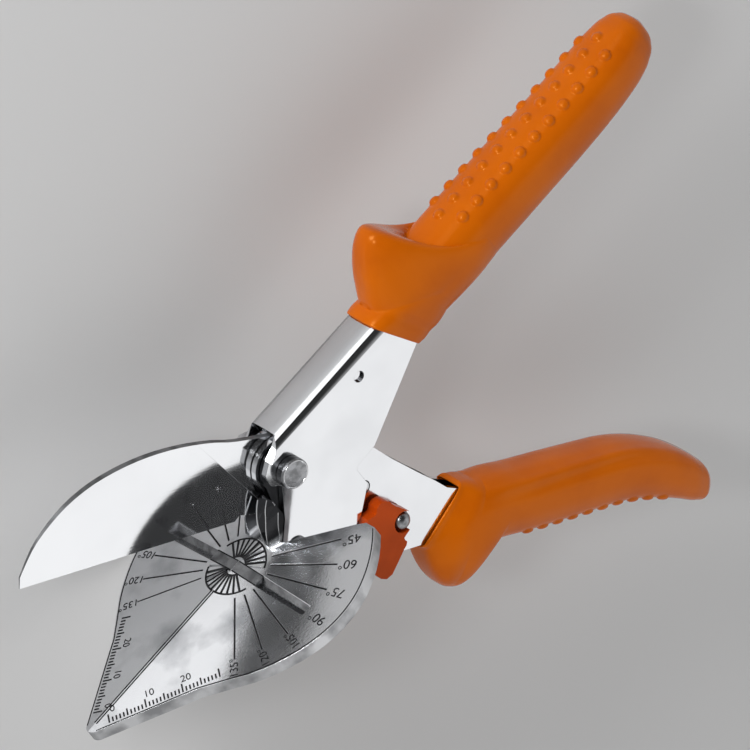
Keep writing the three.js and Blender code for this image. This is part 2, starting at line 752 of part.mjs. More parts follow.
// A point of the section at an angle round it, before the guard and the droop are added
function gripSection(size, place, angle, square) {
  const [top, bottom, wide] = sharesAt(size.up ? upperGripShares : lowerGripShares, place);
  const up = superPower(Math.sin(angle), square);
  return {
    up,
    rise: grip.half * up * (up > 0 ? top : bottom),
    across: grip.side * wide * superPower(Math.cos(angle), square),
  };
}

// One ring: flat-sided oval, pulled out on the guard's side, its front edge slanted
function gripRing(size, place) {
  const x = size.start + place * (size.end - size.start);
  const centre = size.centre - gripDroop(size, place);
  const extra = (size.guard - grip.half) * guardAt(size, place);
  const collar = Math.max(0, 1 - place / gripRunShares.collar);
  const square = THREE.MathUtils.lerp(squareShares.body, squareShares.front, collar);
  const slant = size.leanShare * Math.max(0, 1 - place / gripRunShares.slant);
  const ring = [];
  for (let i = 0; i < grip.sides; i += 1) {
    const { up, rise, across } = gripSection(size, place, (2 * Math.PI * i) / grip.sides, square);
    const full = rise + extra * Math.max(0, up);
    ring.push([x - slant * rise, centre + (size.up ? full : -full), across]);
  }
  return size.up ? ring : ring.reverse();
}

function gripBody(size) {
  const rings = gripStationShares.map((place) => gripRing(size, place));
  return outward(loft(rings.reverse()));
}

// Three rows of raised dots on the guard's side, behind the guard
function gripDots(size) {
  const found = [];
  const { first, last, stop } = dotShares;
  const pitch = (last - first) / (dots.count - 1);
  const sink = 1 - (dots.radius - dots.rise) / grip.half;
  for (let row = -1; row <= 1; row += 1) {
    const angle = THREE.MathUtils.degToRad(90 - row * dots.side);
    for (let i = 0; i < dots.count - Math.abs(row); i += 1) {
      const place = first + (i + Math.abs(row) / 2) * pitch;
      if (size.drop > 0 && place > stop) continue;
      const { rise, across } = gripSection(size, place, angle, squareShares.body);
      const centre = size.centre - gripDroop(size, place);
      const geometry = new THREE.SphereGeometry(dots.radius, dots.sides, dots.bands);
      geometry.rotateX(dotTurn.tilt);
      geometry.rotateY(dotTurn.spin);
      const x = size.start + place * (size.end - size.start);
      geometry.translate(x, centre + sink * (size.up ? rise : -rise), sink * across);
      found.push(solid(geometry));
    }
  }
  return found;
}

function dottedGrip(size) {
  return gripDots(size).reduce((body, dot) => body.add(dot), gripBody(size));
}

// Room for a channel in its sleeve, its corners rounded on the web's side
function channelRoom(from, to, web, edge, side) {
  const { bend } = gripPocket;
  const turn = Math.sign(edge - web);
  const shape = new THREE.Shape();
  shape.moveTo(-side, edge);
  shape.lineTo(-side, web + turn * bend);
  shape.quadraticCurveTo(-side, web, -side + bend, web);
  shape.lineTo(side - bend, web);
  shape.quadraticCurveTo(side, web, side, web + turn * bend);
  shape.lineTo(side, edge);
  const geometry = new THREE.ExtrudeGeometry(shape,
    { depth: to - from, bevelEnabled: false, curveSegments: 3 });
  geometry.rotateY(Math.PI / 2);
  geometry.translate(from, 0, 0);
  return solid(geometry);
}

function upperGripPiece() {
  const { gap, end } = gripPocket;
  const side = upperOuter + gap;
  const low = upper.wallBottom - gap;
  const front = slab(shapeOf([
    [wall.heelX, wall.gripY - overrun], [wall.gripX + gap, wall.gripY - gap],
    [wall.gripX + overrun + gap, low], [wall.heelX, upper.wallBottom],
  ]), -side, side);
  const body = dottedGrip(upperGrip)
    .subtract(channelRoom(upper.webFront, upper.end + end, upper.top + gap, low, side))
    .subtract(front);
  return node('upper_grip', body.simplify(smallest), finish.soft);
}

function lowerGripPiece() {
  const { gap, end } = gripPocket;
  const side = lowerOuter + gap;
  const edge = lowerWall.gripX;
  const top = lower.top + gap;
  const shoulder = (pivot.y - lowerWall.lift - lower.top) * lowerTopShares.at(-1)[1];
  const front = slab(shapeOf([
    [edge - 2 * overrun, lower.top], [edge + lowerWall.gripRun + gap, lower.top],
    [edge, top + shoulder], [edge - 2 * overrun, pivot.y],
  ]), -side, side);
  const body = dottedGrip(lowerGrip)
    .subtract(block(lowerWall.wideStart, lower.end + end, lower.web - gap, top, -side, side))
    .subtract(front);
  return node('lower_grip', body.simplify(smallest), finish.soft);
}

// Fasteners at the pivot

function lathed(profile, sides) {
  const geometry = new THREE.LatheGeometry(profile.map(([r, z]) => new THREE.Vector2(r, z)), sides);
  geometry.rotateX(Math.PI / 2);
  return solid(geometry);
}

function pivotBolt() {
  const seat = upperOuter + seatGap;
  const tail = seat + 2 * seatGap + washer.thick + nut.thick + bolt.tail;
  const { head, rise, crown } = bolt;
  const { side, shoulder, shoulderRise, crownRise } = boltHeadShares;
  const profile = [
    [0, -tail],
    [pivot.shank, -tail],
    [pivot.shank, seat],
    [head, seat],
    [head, seat + rise * side],
    [head * shoulder, seat + rise * shoulderRise],
    [(head + crown) / 2, seat + rise * crownRise],
    [crown, seat + rise],
    [0, seat + rise],
  ];
  const body = lathed(profile, 40).translate([pivot.x, pivot.y, 0]);
  return node('pivot_bolt', body, finish.fastener);
}

function boltHole(low, high) {
  return round(pivot.x, pivot.y, pivot.shank + seatGap, low - overrun, high + overrun);
}

function pivotWasher() {
  const high = -upperOuter - seatGap;
  const low = high - washer.thick;
  const body = round(pivot.x, pivot.y, washer.radius, low, high).subtract(boltHole(low, high));
  return node('pivot_washer', body, finish.fastener);
}

function pivotNut() {
  const high = -upperOuter - seatGap * 2 - washer.thick;
  const low = high - nut.thick;
  const corner = nut.flats / Math.sqrt(3);
  const body = round(pivot.x, pivot.y, corner, low, high, 6).subtract(boltHole(low, high));
  return node('pivot_nut', body, finish.fastener);
}

// Two riveted pins hold the casting's keel between the upper handle's walls
function anvilPinPlaces() {
  return [[anvilPin.frontX, anvilPin.frontY], [anvilPin.rearX, anvilPin.rearY]];
}

function anvilPins() {
  const { radius } = anvilPin;
  const head = radius * pinHeadShares.head;
  const seat = upperOuter + seatGap;
  const half = [
    [head, seat],
    [head * pinHeadShares.crown, seat + radius * pinHeadShares.shoulder],
    [0, seat + radius],
  ];
  const farHalf = half.map(([r, z]) => [r, -z]).reverse();
  const profile = [...farHalf, [radius, -seat], [radius, seat], ...half];
  return anvilPinPlaces().map(([x, y], i) => {
    const body = lathed(profile, 24).translate([x, y, 0]);
    return node(i === 0 ? 'anvil_pin_front' : 'anvil_pin_rear', body, finish.fastener);
  });
}

// Safety catch, turning on a rivet in the lower handle's near wall

// Outline of the lever round its rivet, as shares of its width and height
const catchShares = [
  [-0.9, 0.17], [-0.78, 0.19], [-0.7, 0.21], [-0.67, 0.29], [-0.55, 0.34], [-0.4, 0.33], [-0.25, 0.25],
  [-0.02, 0.17], [0.16, 0.1], [0.2, -0.02], [0.12, -0.13], [0.0, -0.21], [0.08, -0.27], [-0.02, -0.37],
  [-0.1, -0.45], [-0.36, -0.66], [-0.64, -0.6], [-0.74, -0.4], [-0.9, -0.1],
];

function catchPiece() {
  const low = lowerOuter + seatGap * 2 + catchWasher.thick;
  const { x, y, width, height, thick, tongue, bore } = catchLever;
  const outline = fromShares(catchShares, x, y, width, height);
  const closed = [...outline, outline[0]];
  let body = slab(shapeOf(smooth(closed, 40).slice(0, -1)), low, low + thick);
  body = body.subtract(round(x, y, catchRivet.notch, low + tongue, low + thick + overrun, 28));
  body = body.add(round(x, y, catchRivet.notch - seatGap, low, low + tongue, 28));
  body = body.subtract(round(x, y, bore + seatGap, low - overrun, low + thick + overrun, 20));
  return node('safety_catch', body, finish.plastic);
}

function catchRivetPiece() {
  const seat = lowerOuter + seatGap * 3 + catchWasher.thick + catchLever.tongue;
  const { bore } = catchLever;
  const { head, rise } = catchRivet;
  const { side, shoulder, shoulderRise, crown } = rivetHeadShares;
  const profile = [
    [0, lowerInner],
    [bore, lowerInner],
    [bore, seat],
    [head, seat],
    [head, seat + rise * side],
    [head * shoulder, seat + rise * shoulderRise],
    [head * crown, seat + rise],
    [0, seat + rise],
  ];
  const body = lathed(profile, 28).translate([catchLever.x, catchLever.y, 0]);
  return node('catch_rivet', body, finish.fastener);
}

function catchWasherPiece() {
  const { x, y, bore } = catchLever;
  const low = lowerOuter + seatGap;
  const high = low + catchWasher.thick;
  const body = round(x, y, catchWasher.radius, low, high, 24)
    .subtract(round(x, y, bore + seatGap, low - overrun, high + overrun, 20));
  return node('catch_washer', body, finish.fastener);
}

// Return spring: one coil of round wire on a post, a long leg up to the upper web, a short one down

function springPath() {
  const { x, y, wire, pitch, steps } = spring;
  const radius = springPost.radius + runGap + wire / 2;
  const upWay = THREE.MathUtils.degToRad(springLeg.upAngle);
  const downWay = THREE.MathUtils.degToRad(springLeg.downAngle);
  // The wire winds anticlockwise, and each leg leaves the coil square to its radius
  const start = upWay + Math.PI / 2;
  const end = downWay - Math.PI / 2 + 2 * Math.PI * (spring.turns + 1);
  const turns = (end - start) / (2 * Math.PI);
  const count = Math.round(turns * steps);
  const points = [];
  for (let i = 0; i <= count; i += 1) {
    const angle = start + ((end - start) * i) / count;
    points.push(new THREE.Vector3(x + radius * Math.cos(angle), y + radius * Math.sin(angle),
      pitch * turns * (i / count - 1 / 2)));
  }
  const head = points[0];
  const tail = points[count];
  const centre = new THREE.Vector2(pivot.x, pivot.y);
  const open = new THREE.Vector2(head.x, head.y).rotateAround(centre, -openAngle);
  const up = (upper.top - sheet - runGap - wire / 2 - open.y) / Math.sin(upWay - openAngle);
  const down = (lower.web + sheet + runGap + wire / 2 - tail.y) / Math.sin(downWay);
  const leg = (from, way, length) => new THREE.Vector3(from.x + length * Math.cos(way),
    from.y + length * Math.sin(way), from.z);
  return [leg(head, upWay, up), ...points, leg(tail, downWay, down)];
}

// Wire swept along the points, each ring square to the way the wire runs there
function wireBody(points, radius, sides) {
  const rings = points.map((p, i) => {
    const before = points[Math.max(0, i - 1)];
    const after = points[Math.min(points.length - 1, i + 1)];
    const way = after.clone().sub(before).normalize();
    const across = new THREE.Vector3(0, 0, 1).cross(way).normalize();
    const up = way.clone().cross(across);
    const ring = [];
    for (let k = 0; k < sides; k += 1) {
      const angle = (2 * Math.PI * k) / sides;
      const q = p.clone().addScaledVector(across, radius * Math.cos(angle))
        .addScaledVector(up, radius * Math.sin(angle));
      ring.push([q.x, q.y, q.z]);
    }
    return ring;
  });
  return outward(loft(rings));
}

function returnSpring() {
  const path = springPath();
  console.log('return spring: least gap between turns', (spring.pitch - spring.wire).toFixed(2), 'mm');
  return node('return_spring', wireBody(path, spring.wire / 2, spring.sides), finish.spring);
}

function springPostPiece() {
  const body = round(spring.x, spring.y, springPost.radius, -lowerOuter, lowerOuter, 20);
  return node('spring_post', body, finish.fastener);
}

// Assembly: what turns with the lower handle is drawn closed and turned open about the pivot

const lowerSide = new THREE.Group();
lowerSide.add(lowerHandle(), lowerGripPiece(), bladePiece(), ...bladeRivets(), springPostPiece(),
  returnSpring(), catchPiece(), catchRivetPiece(), catchWasherPiece());
for (const piece of lowerSide.children) piece.geometry.translate(-pivot.x, -pivot.y, 0);
lowerSide.position.set(pivot.x, pivot.y, 0);
lowerSide.rotation.z = -openAngle;

const group = new THREE.Group();
group.add(upperHandle(), upperGripPiece(), anvil(), ...anvilPins());
group.add(pivotBolt(), pivotWasher(), pivotNut(), lowerSide);

group.updateMatrixWorld(true);
const bounds = new THREE.Box3().setFromObject(group, true);
const middle = bounds.getCenter(new THREE.Vector3());
group.position.set(-middle.x, -middle.y, -bounds.min.z);

export default group;
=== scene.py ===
import json
import math

import bmesh
import bpy
import numpy as np
from mathutils import Matrix, Vector


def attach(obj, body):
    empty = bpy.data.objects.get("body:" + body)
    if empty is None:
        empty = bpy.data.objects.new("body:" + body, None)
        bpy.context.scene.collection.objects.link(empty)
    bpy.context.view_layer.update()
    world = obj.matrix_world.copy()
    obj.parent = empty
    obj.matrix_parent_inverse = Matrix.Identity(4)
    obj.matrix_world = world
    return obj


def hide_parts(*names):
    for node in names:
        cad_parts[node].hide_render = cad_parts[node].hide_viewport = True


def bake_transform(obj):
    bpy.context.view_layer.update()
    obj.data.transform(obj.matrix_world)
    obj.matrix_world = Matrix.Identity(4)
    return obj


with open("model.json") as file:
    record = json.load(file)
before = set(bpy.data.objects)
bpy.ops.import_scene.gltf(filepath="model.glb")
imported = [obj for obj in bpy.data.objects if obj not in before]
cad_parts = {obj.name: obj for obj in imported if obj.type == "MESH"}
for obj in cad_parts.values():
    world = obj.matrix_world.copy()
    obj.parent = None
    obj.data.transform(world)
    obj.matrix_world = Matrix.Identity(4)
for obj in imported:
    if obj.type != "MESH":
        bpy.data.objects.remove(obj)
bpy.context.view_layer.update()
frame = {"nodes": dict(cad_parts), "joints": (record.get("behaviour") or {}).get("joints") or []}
nodes = frame["nodes"]
mm = 0.001
bothSides = ((1, 1), (2, -1))  # a piece's number, and its side of the tool: 1 is near, -1 is far

# The protractor's centre on the anvil's ridge is where all pieces are measured from
pivot = {"x": 24.2, "y": 13.3, "open": math.radians(36.2)}
pivotJoint = next(j for j in frame["joints"] if j["name"] == "handle_pivot")
origin = np.array(pivotJoint["pos_m"]) / mm - np.array([pivot["x"], pivot["y"], 0.0])

# Tools for surfaces and meshes


def finishedObject(name, mesh, look, smoothAngle):
    # Neighbouring faces shade as one up to the given angle between them
    mesh.update()
    mesh.set_sharp_from_angle(angle=math.radians(smoothAngle))
    mesh.materials.clear()
    mesh.materials.append(look)
    made = bpy.data.objects.new(name, mesh)
    bpy.context.collection.objects.link(made)
    return made


def meshObject(name, points, faces, look, smoothAngle=35):
    # Points in millimetres from the protractor's centre become a mesh in the frame
    mesh = bpy.data.meshes.new(name)
    mesh.from_pydata(((np.asarray(points).reshape(-1, 3) + origin) * mm).tolist(), [], faces)
    mesh.validate()
    return finishedObject(name, mesh, look, smoothAngle)


def gridFaces(rows, columns, wrap=True):
    # Quads between neighbours of a grid, its columns closed into rings if wrap is set
    r = np.arange(rows - 1)[:, None]
    c = np.arange(columns if wrap else columns - 1)[None, :]
    following = (c + 1) % columns
    quads = np.stack([r * columns + c, r * columns + following,
                      (r + 1) * columns + following, (r + 1) * columns + c], axis=-1)
    return quads.reshape(-1, 4).tolist()


def capFaces(first, columns, centre, flip):
    # Triangles from a ring to the point at its centre
    ring = np.arange(columns)
    pair = ((ring + 1) % columns + first, ring + first)
    return np.stack([np.full(columns, centre), *pair[::1 if flip else -1]], axis=-1).tolist()


def outwardFaces(points, faces):
    # The sum of a . (b x c) over a closed surface's triangles says whether its faces point out
    quads = np.array([f for f in faces if len(f) == 4], dtype=int).reshape(-1, 4)
    triangles = np.array([f for f in faces if len(f) == 3], dtype=int).reshape(-1, 3)
    triangles = np.concatenate([triangles, quads[:, [0, 1, 2]], quads[:, [0, 2, 3]]])
    a, b, c = (points[triangles[:, k]] for k in range(3))
    volume = np.einsum("ij,ij->i", a, np.cross(b, c)).sum()
    return faces if volume > 0 else [f[::-1] for f in faces]


def closedGrid(name, grid, look, smoothAngle=35):
    # Rings of a grid closed at both ends with a point at the middle of each end ring
    rows, columns = grid.shape[:2]
    points = np.concatenate([grid.reshape(-1, 3), grid[0].mean(0)[None], grid[-1].mean(0)[None]])
    faces = gridFaces(rows, columns)
    faces += capFaces(0, columns, rows * columns, True)
    faces += capFaces((rows - 1) * columns, columns, rows * columns + 1, False)
    return meshObject(name, points, outwardFaces(points, faces), look, smoothAngle)


def meshPoints(mesh):
    flat = np.zeros(len(mesh.vertices) * 3)
    mesh.vertices.foreach_get("co", flat)
    return flat.reshape(-1, 3)


def reshaped(mesh, reshape):
    # Every point moved by a function of its place in millimetres
    points = reshape(meshPoints(mesh) / mm - origin)
    mesh.vertices.foreach_set("co", ((points + origin) * mm).ravel())
    mesh.update()


def opened(points):
    # What is drawn with the tool closed turns open about the pivot
    c, s = math.cos(-pivot["open"]), math.sin(-pivot["open"])
    x, y = points[..., 0] - pivot["x"], points[..., 1] - pivot["y"]
    x, y = pivot["x"] + x * c - y * s, pivot["y"] + x * s + y * c
    return np.stack([x, y, points[..., 2]], axis=-1)


# A node's copy: how near corners are to merge, in metres, and the angle that counts as flat
dressing = {"weld": 2e-6, "flat": math.radians(1.2), "segments": 2}


def dressedNode(name, look, edge, bevelAngle, smoothAngle, edgeLook=None, reshape=None):
    # A copy with its flat stretches merged and its edges rounded, in a look of their own if given
    work = bmesh.new()
    work.from_mesh(nodes[name].data)
    bmesh.ops.remove_doubles(work, verts=work.verts, dist=dressing["weld"])
    bmesh.ops.dissolve_limit(work, angle_limit=dressing["flat"], verts=work.verts, edges=work.edges)
    mesh = bpy.data.meshes.new(name + "_finish")
    work.to_mesh(mesh)
    work.free()
    if reshape:
        reshaped(mesh, reshape)
    made = finishedObject(name + "_finish", mesh, look, smoothAngle)
    bevel = made.modifiers.new("edges", "BEVEL")
    bevel.width = edge * mm
    bevel.segments = dressing["segments"]
    bevel.limit_method = "ANGLE"
    bevel.angle_limit = math.radians(bevelAngle)
    bevel.use_clamp_overlap = True
    if edgeLook:
        made.data.materials.append(edgeLook)
        bevel.material = 1
    flat = made.modifiers.new("flat", "WEIGHTED_NORMAL")
    flat.keep_sharp = True
    return made


def placed(made, body, replaced=None):
    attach(made, body)
    if replaced:
        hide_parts(replaced)


# Materials


def fed(tree, sockets, inputs):
    # Each socket is linked where another socket is given for it, and set where a value is
    for name, value in inputs.items():
        if isinstance(value, bpy.types.NodeSocket):
            tree.links.new(value, sockets[name])
        else:
            sockets[name].default_value = value


def added(tree, kind, inputs, **settings):
    node = tree.nodes.new(kind)
    for name, value in settings.items():
        setattr(node, name, value)
    fed(tree, node.inputs, inputs)
    return node


def mapRange(tree, source, low, high, fromLow=0.0, fromHigh=1.0):
    # Straight line from one range to another, held at its ends
    return added(tree, "ShaderNodeMapRange", {
        "Value": source, "From Min": fromLow, "From Max": fromHigh, "To Min": low,
        "To Max": high}).outputs["Result"]


def noise(tree, vector, scale, detail, stretch=(1, 1, 1)):
    place = added(tree, "ShaderNodeMapping", {"Vector": vector, "Scale": stretch})
    return added(tree, "ShaderNodeTexNoise", {
        "Vector": place.outputs["Vector"], "Scale": scale, "Detail": detail}).outputs["Fac"]


def mixed(tree, factor, first, second):
    return added(tree, "ShaderNodeMix", {"Factor": factor, "A": first, "B": second},
                 data_type="RGBA").outputs["Result"]


def sums(tree, operation, *values):
    node = added(tree, "ShaderNodeMath", dict(enumerate(values)), operation=operation)
    return node.outputs["Value"]


def socketGroup(name, inputs, outputs):
    # A group with its named sockets by kind; what it is given and what it results in come with it
    group = bpy.data.node_groups.new(name, "ShaderNodeTree")
    for way, sockets in (("INPUT", inputs), ("OUTPUT", outputs)):
        for label, kind in sockets.items():
            group.interface.new_socket(name=label, in_out=way, socket_type="NodeSocket" + kind)
    given = group.nodes.new("NodeGroupInput").outputs
    return group, given, group.nodes.new("NodeGroupOutput").inputs


def wearGroup():
    # Slow patches and fine grain: patches shift the colour and gloss, grain gives the height
    group, given, result = socketGroup("wear", {
        "Vector": "Vector", "Color": "Color", "Patch Color": "Color", "Patch Scale": "Float",
        "Grain Scale": "Float", "Patch Low": "Float", "Patch High": "Float", "Rough Low": "Float",
        "Rough High": "Float"}, {"Color": "Color", "Roughness": "Float", "Height": "Float"})
    grainShare = 0.4
    patches = noise(group, given["Vector"], given["Patch Scale"], 4.0)
    grain = noise(group, given["Vector"], given["Grain Scale"], 3.0)
    mask = mapRange(group, patches, 0.0, 1.0, given["Patch Low"], given["Patch High"])
    gloss = sums(group, "MULTIPLY_ADD", grain, grainShare, mask)
    rough = mapRange(group, gloss, given["Rough Low"], given["Rough High"], 0.0, 1 + grainShare)
    colour = mixed(group, mask, given["Color"], given["Patch Color"])
    fed(group, result, {"Color": colour, "Roughness": rough, "Height": grain})
    return group


def brushGroup():
    # Fine parallel marks: noise drawn out along one axis
    group, given, result = socketGroup("brushMarks", {"Vector": "Vector", "Scale": "Float"},
                                       {"Height": "Float"})
    drawnOut = (0.03, 4.0, 4.0)
    fed(group, result, {"Height": noise(group, given["Vector"], given["Scale"], 2.0, drawnOut)})
    return group


def zoneGroup():
    # 1 where a point lies past both starts along X and Y, eased over a millimetre, else 0
    group, given, result = socketGroup(
        "zone", {"Vector": "Vector", "X Start": "Float", "Y Start": "Float"}, {"Fac": "Float"})
    place = added(group, "ShaderNodeSeparateXYZ", {"Vector": given["Vector"]}).outputs
    past = [sums(group, "SUBTRACT", place[axis], given[axis + " Start"]) for axis in "XY"]
    past = [mapRange(group, distance, 0.0, 1.0, 0.0, mm) for distance in past]
    fed(group, result, {"Fac": sums(group, "MULTIPLY", *past)})
    return group


wear = wearGroup()
zone = zoneGroup()
brushMarks = brushGroup()
bumpDepth = 0.0002  # metres


def material(name, look, turn=None):
    # A finish from one dictionary: colours, patches, grain, gloss and, if turned, brush marks
    made = bpy.data.materials.new(name)
    made.use_nodes = True
    tree = made.node_tree
    place = tree.nodes.new("ShaderNodeTexCoord").outputs["Object"]
    worn = added(tree, "ShaderNodeGroup", {
        "Vector": place, "Color": (*look["color"], 1), "Patch Color": (*look["patch"], 1),
        "Patch Scale": look["patchScale"], "Grain Scale": look["grainScale"],
        "Patch Low": look.get("patchLow", 0.4), "Patch High": look.get("patchHigh", 0.65),
        "Rough Low": look["rough"][0], "Rough High": look["rough"][1]}, node_tree=wear).outputs
    colour, height = worn["Color"], worn["Height"]
    # Painted shade past the zone's starts, in its own colour
    if "zone" in look:
        mask = added(tree, "ShaderNodeGroup", {
            "Vector": place, "X Start": look["zone"][0], "Y Start": look["zone"][1]},
            node_tree=zone)
        colour = mixed(tree, mask.outputs["Fac"], colour, (*look["zoneColor"], 1))
    if turn is not None:
        along = added(tree, "ShaderNodeMapping", {"Vector": place, "Rotation": turn})
        height = added(tree, "ShaderNodeGroup", {
            "Vector": along.outputs["Vector"], "Scale": look["brushScale"]},
            node_tree=brushMarks).outputs["Height"]
    bump = added(tree, "ShaderNodeBump", {
        "Strength": look["bump"], "Distance": bumpDepth, "Height": height})
    fed(tree, tree.nodes["Principled BSDF"].inputs, {
        "Base Color": colour, "Roughness": worn["Roughness"], "Normal": bump.outputs["Normal"],
        "Metallic": look.get("metal", 1.0), "IOR": look.get("ior", 1.5),
        "Specular IOR Level": look.get("specular", 0.5),
        "Specular Tint": (*look.get("tint", (1, 1, 1)), 1)})
    return made


# Painted shade on the casting between the handle's walls: where it starts along X and Y, its colour
shadeBetweenWalls = {"zone": ((origin[0] + 5.5) * mm, (origin[1] + 0.3) * mm),
                "zoneColor": (0.05, 0.051, 0.054)}
finishes = {
    "plate": {"color": (0.82, 0.83, 0.85), "patch": (0.76, 0.77, 0.79), "patchScale": 45.0,
              "grainScale": 1400.0, "rough": (0.08, 0.16), "bump": 0.02},
    "casting": {"color": (0.76, 0.77, 0.79), "patch": (0.42, 0.43, 0.45), "patchScale": 75.0,
                "grainScale": 1600.0, "rough": (0.16, 0.3), "bump": 0.08,
                "patchLow": 0.5, "patchHigh": 0.74, "tint": (0.35, 0.35, 0.35), **shadeBetweenWalls},
    "shadow": {"color": (0.07, 0.071, 0.075), "patch": (0.14, 0.142, 0.15), "patchScale": 160.0,
               "grainScale": 1800.0, "rough": (0.25, 0.4), "bump": 0.1},
    # Painted shade inside the square groove and in its band through the rosette
    "groove": {"color": (0.3, 0.305, 0.315), "patch": (0.13, 0.132, 0.138), "patchScale": 220.0,
               "grainScale": 2000.0, "rough": (0.2, 0.36), "bump": 0.12},
    "rim": {"color": (0.66, 0.665, 0.68), "patch": (0.34, 0.344, 0.355), "patchScale": 130.0,
            "grainScale": 1800.0, "rough": (0.4, 0.6), "bump": 0.12,
            "tint": (0.35, 0.35, 0.35), **shadeBetweenWalls},
    # Cut edges: duller steel, also painted dark to stand for shade along the rounded edges
    "cutEdgeAndShade": {"color": (0.24, 0.245, 0.255), "patch": (0.1, 0.102, 0.106), "patchScale": 240.0,
                "grainScale": 2400.0, "rough": (0.3, 0.45), "bump": 0.15},
    "boltHead": {"color": (0.36, 0.365, 0.38), "patch": (0.2, 0.203, 0.21), "patchScale": 620.0,
                 "grainScale": 2600.0, "rough": (0.22, 0.38), "bump": 0.15},
    "blade": {"color": (0.88, 0.89, 0.91), "patch": (0.84, 0.85, 0.87), "patchScale": 30.0,
              "grainScale": 1200.0, "rough": (0.04, 0.1), "bump": 0.015,
              "brushScale": 700.0},
    "fastener": {"color": (0.72, 0.73, 0.75), "patch": (0.5, 0.51, 0.53), "patchScale": 420.0,
                 "grainScale": 2600.0, "rough": (0.14, 0.34), "bump": 0.15},
    "spring": {"color": (0.4, 0.41, 0.43), "patch": (0.3, 0.31, 0.33), "patchScale": 300.0,
               "grainScale": 2600.0, "rough": (0.25, 0.4), "bump": 0.1},
    "grip": {"color": (0.6, 0.122, 0.002), "patch": (0.54, 0.103, 0.002), "patchScale": 70.0,
             "grainScale": 1500.0, "rough": (0.14, 0.22), "bump": 0.025, "metal": 0.0,
             "specular": 1.0, "ior": 1.27, "tint": (1, 0.5, 0.14)},
    "catch": {"color": (0.5, 0.055, 0.002), "patch": (0.42, 0.045, 0.002), "patchScale": 140.0,
              "grainScale": 2200.0, "rough": (0.3, 0.42), "bump": 0.06, "metal": 0.0,
              "specular": 0.4, "tint": (1, 0.35, 0.08)},
    # One dark for the printed scale and figures and for the painted shade on the ridge and rosette
    "inkAndShade": {"color": (0.012, 0.012, 0.013), "patch": (0.03, 0.03, 0.032), "patchScale": 500.0,
            "grainScale": 3000.0, "rough": (0.85, 0.95), "bump": 0.1, "metal": 0.0,
            "specular": 0.1},
}
gripMaterial = material("moulded_orange", finishes["grip"])
catchMaterial = material("catch_orange", finishes["catch"])
plateMaterial = material("bright_plate", finishes["plate"])
castingMaterial = material("plated_casting", finishes["casting"])
bladeMaterial = material("polished_blade", finishes["blade"], (0, 0, pivot["open"]))
fastenerMaterial = material("plated_fastener", finishes["fastener"])
springMaterial = material("drawn_wire", finishes["spring"])
inkAndShadeMaterial = material("ink_and_painted_shade", finishes["inkAndShade"])
shadowMaterial = material("painted_shade_steel", finishes["shadow"])
grooveMaterial = material("groove_painted_shade", finishes["groove"])
rimMaterial = material("plate_rim", finishes["rim"])
edgeAndShadeMaterial = material("cut_edge_and_shade", finishes["cutEdgeAndShade"])
boltMaterial = material("bolt_head", finishes["boltHead"])

# Grips

# Shared by both: half height and width, how square the rings are, then shares of the length: the
# collar, the slanted front, where the droop and the finely divided tail start
grip = {"half": 9.2, "side": 8.9, "square": 2.6, "frontSquare": 5.5, "pocketSquare": 20,
        "collar": 0.12, "slant": 0.3, "droopStart": 0.62, "tail": 0.9, "sine": 0.75, "lip": 0.45,
        "lipSteps": (0.15, 0.3, 0.5, 0.7, 0.85, 0.95), "rows": 400, "columns": 200, "smooth": 70}
# Place along the grip, then how full it is on the guard's side, on the other side and across
upperFull = [
    (0, 0.75, 1.05, 0.8), (0.02, 0.78, 1.08, 0.82), (0.04, 0.77, 1.08, 0.81),
    (0.07, 0.86, 1.07, 0.92), (0.11, 0.95, 1.05, 1), (0.16, 1, 1.04, 1.05),
    (0.24, 1, 1.03, 1.05), (0.3, 1.02, 1.02, 1.03), (0.46, 1.02, 1.02, 1.02),
    (0.66, 0.97, 1.02, 1), (0.84, 0.9, 0.98, 0.97), (0.9, 0.86, 0.92, 0.92),
    (0.945, 0.78, 0.8, 0.81), (0.975, 0.62, 0.62, 0.64), (0.992, 0.38, 0.38, 0.4),
    (1, 0.12, 0.13, 0.13)]
lowerFull = [
    (0, 0.49, 1.1, 0.59), (0.02, 0.58, 1.08, 0.62), (0.05, 0.76, 1.05, 0.72),
    (0.09, 0.93, 1, 0.87), (0.14, 1, 1, 0.96), (0.2, 0.97, 1, 1), (0.24, 0.94, 0.98, 1),
    (0.3, 0.97, 0.93, 1), (0.46, 1, 0.86, 0.98), (0.66, 1, 0.75, 0.97), (0.8, 0.96, 0.68, 0.96),
    (0.88, 0.9, 0.64, 0.93), (0.94, 0.8, 0.56, 0.84), (0.975, 0.63, 0.46, 0.68),
    (0.992, 0.4, 0.3, 0.44), (1, 0.12, 0.1, 0.14)]
# Pocket: place along the tool, then its reach on the guard's side, on the other side and across
upperGrip = {"start": 66.7, "end": 167.0, "centre": 17.4, "flip": 1, "full": upperFull,
             "lean": 0.46, "drop": -2.2, "ridge": 0.0, "topSquare": 3.2, "pocketTop": 3.5,
             "guard": 24.4, "front": 0.03, "peak": 0.142, "rear": 0.21, "climb": 0.66,
             "fall": 0.6, "narrow": 2.2, "sweep": 0.12, "bulge": 0.7, "lastDot": 1.0,
             "dotRise": 1.0,
             "pocket": [(0.0, 6.2, 8.5, 6.6), (9.3, 6.2, 5.5, 6.6), (85.0, 6.2, 5.5, 6.6)]}
lowerGrip = {"start": 71.0, "end": 158.6, "centre": -16.3, "flip": -1, "full": lowerFull,
             "lean": 0.86, "drop": 11.8, "ridge": 0.55, "topSquare": 5.5, "pocketTop": 20,
             "guard": 19.0, "front": 0.02, "peak": 0.135, "rear": 0.215, "climb": 0.85,
             "fall": 0.75, "narrow": 1.0, "sweep": 0.03, "bulge": 0.0, "lastDot": 0.84,
             "dotRise": 0.75,
             "pocket": [(0.0, 3.8, 9.0, 4.4), (17.5, 3.8, 6.1, 4.4), (58.5, 3.8, 6.1, 4.4)]}
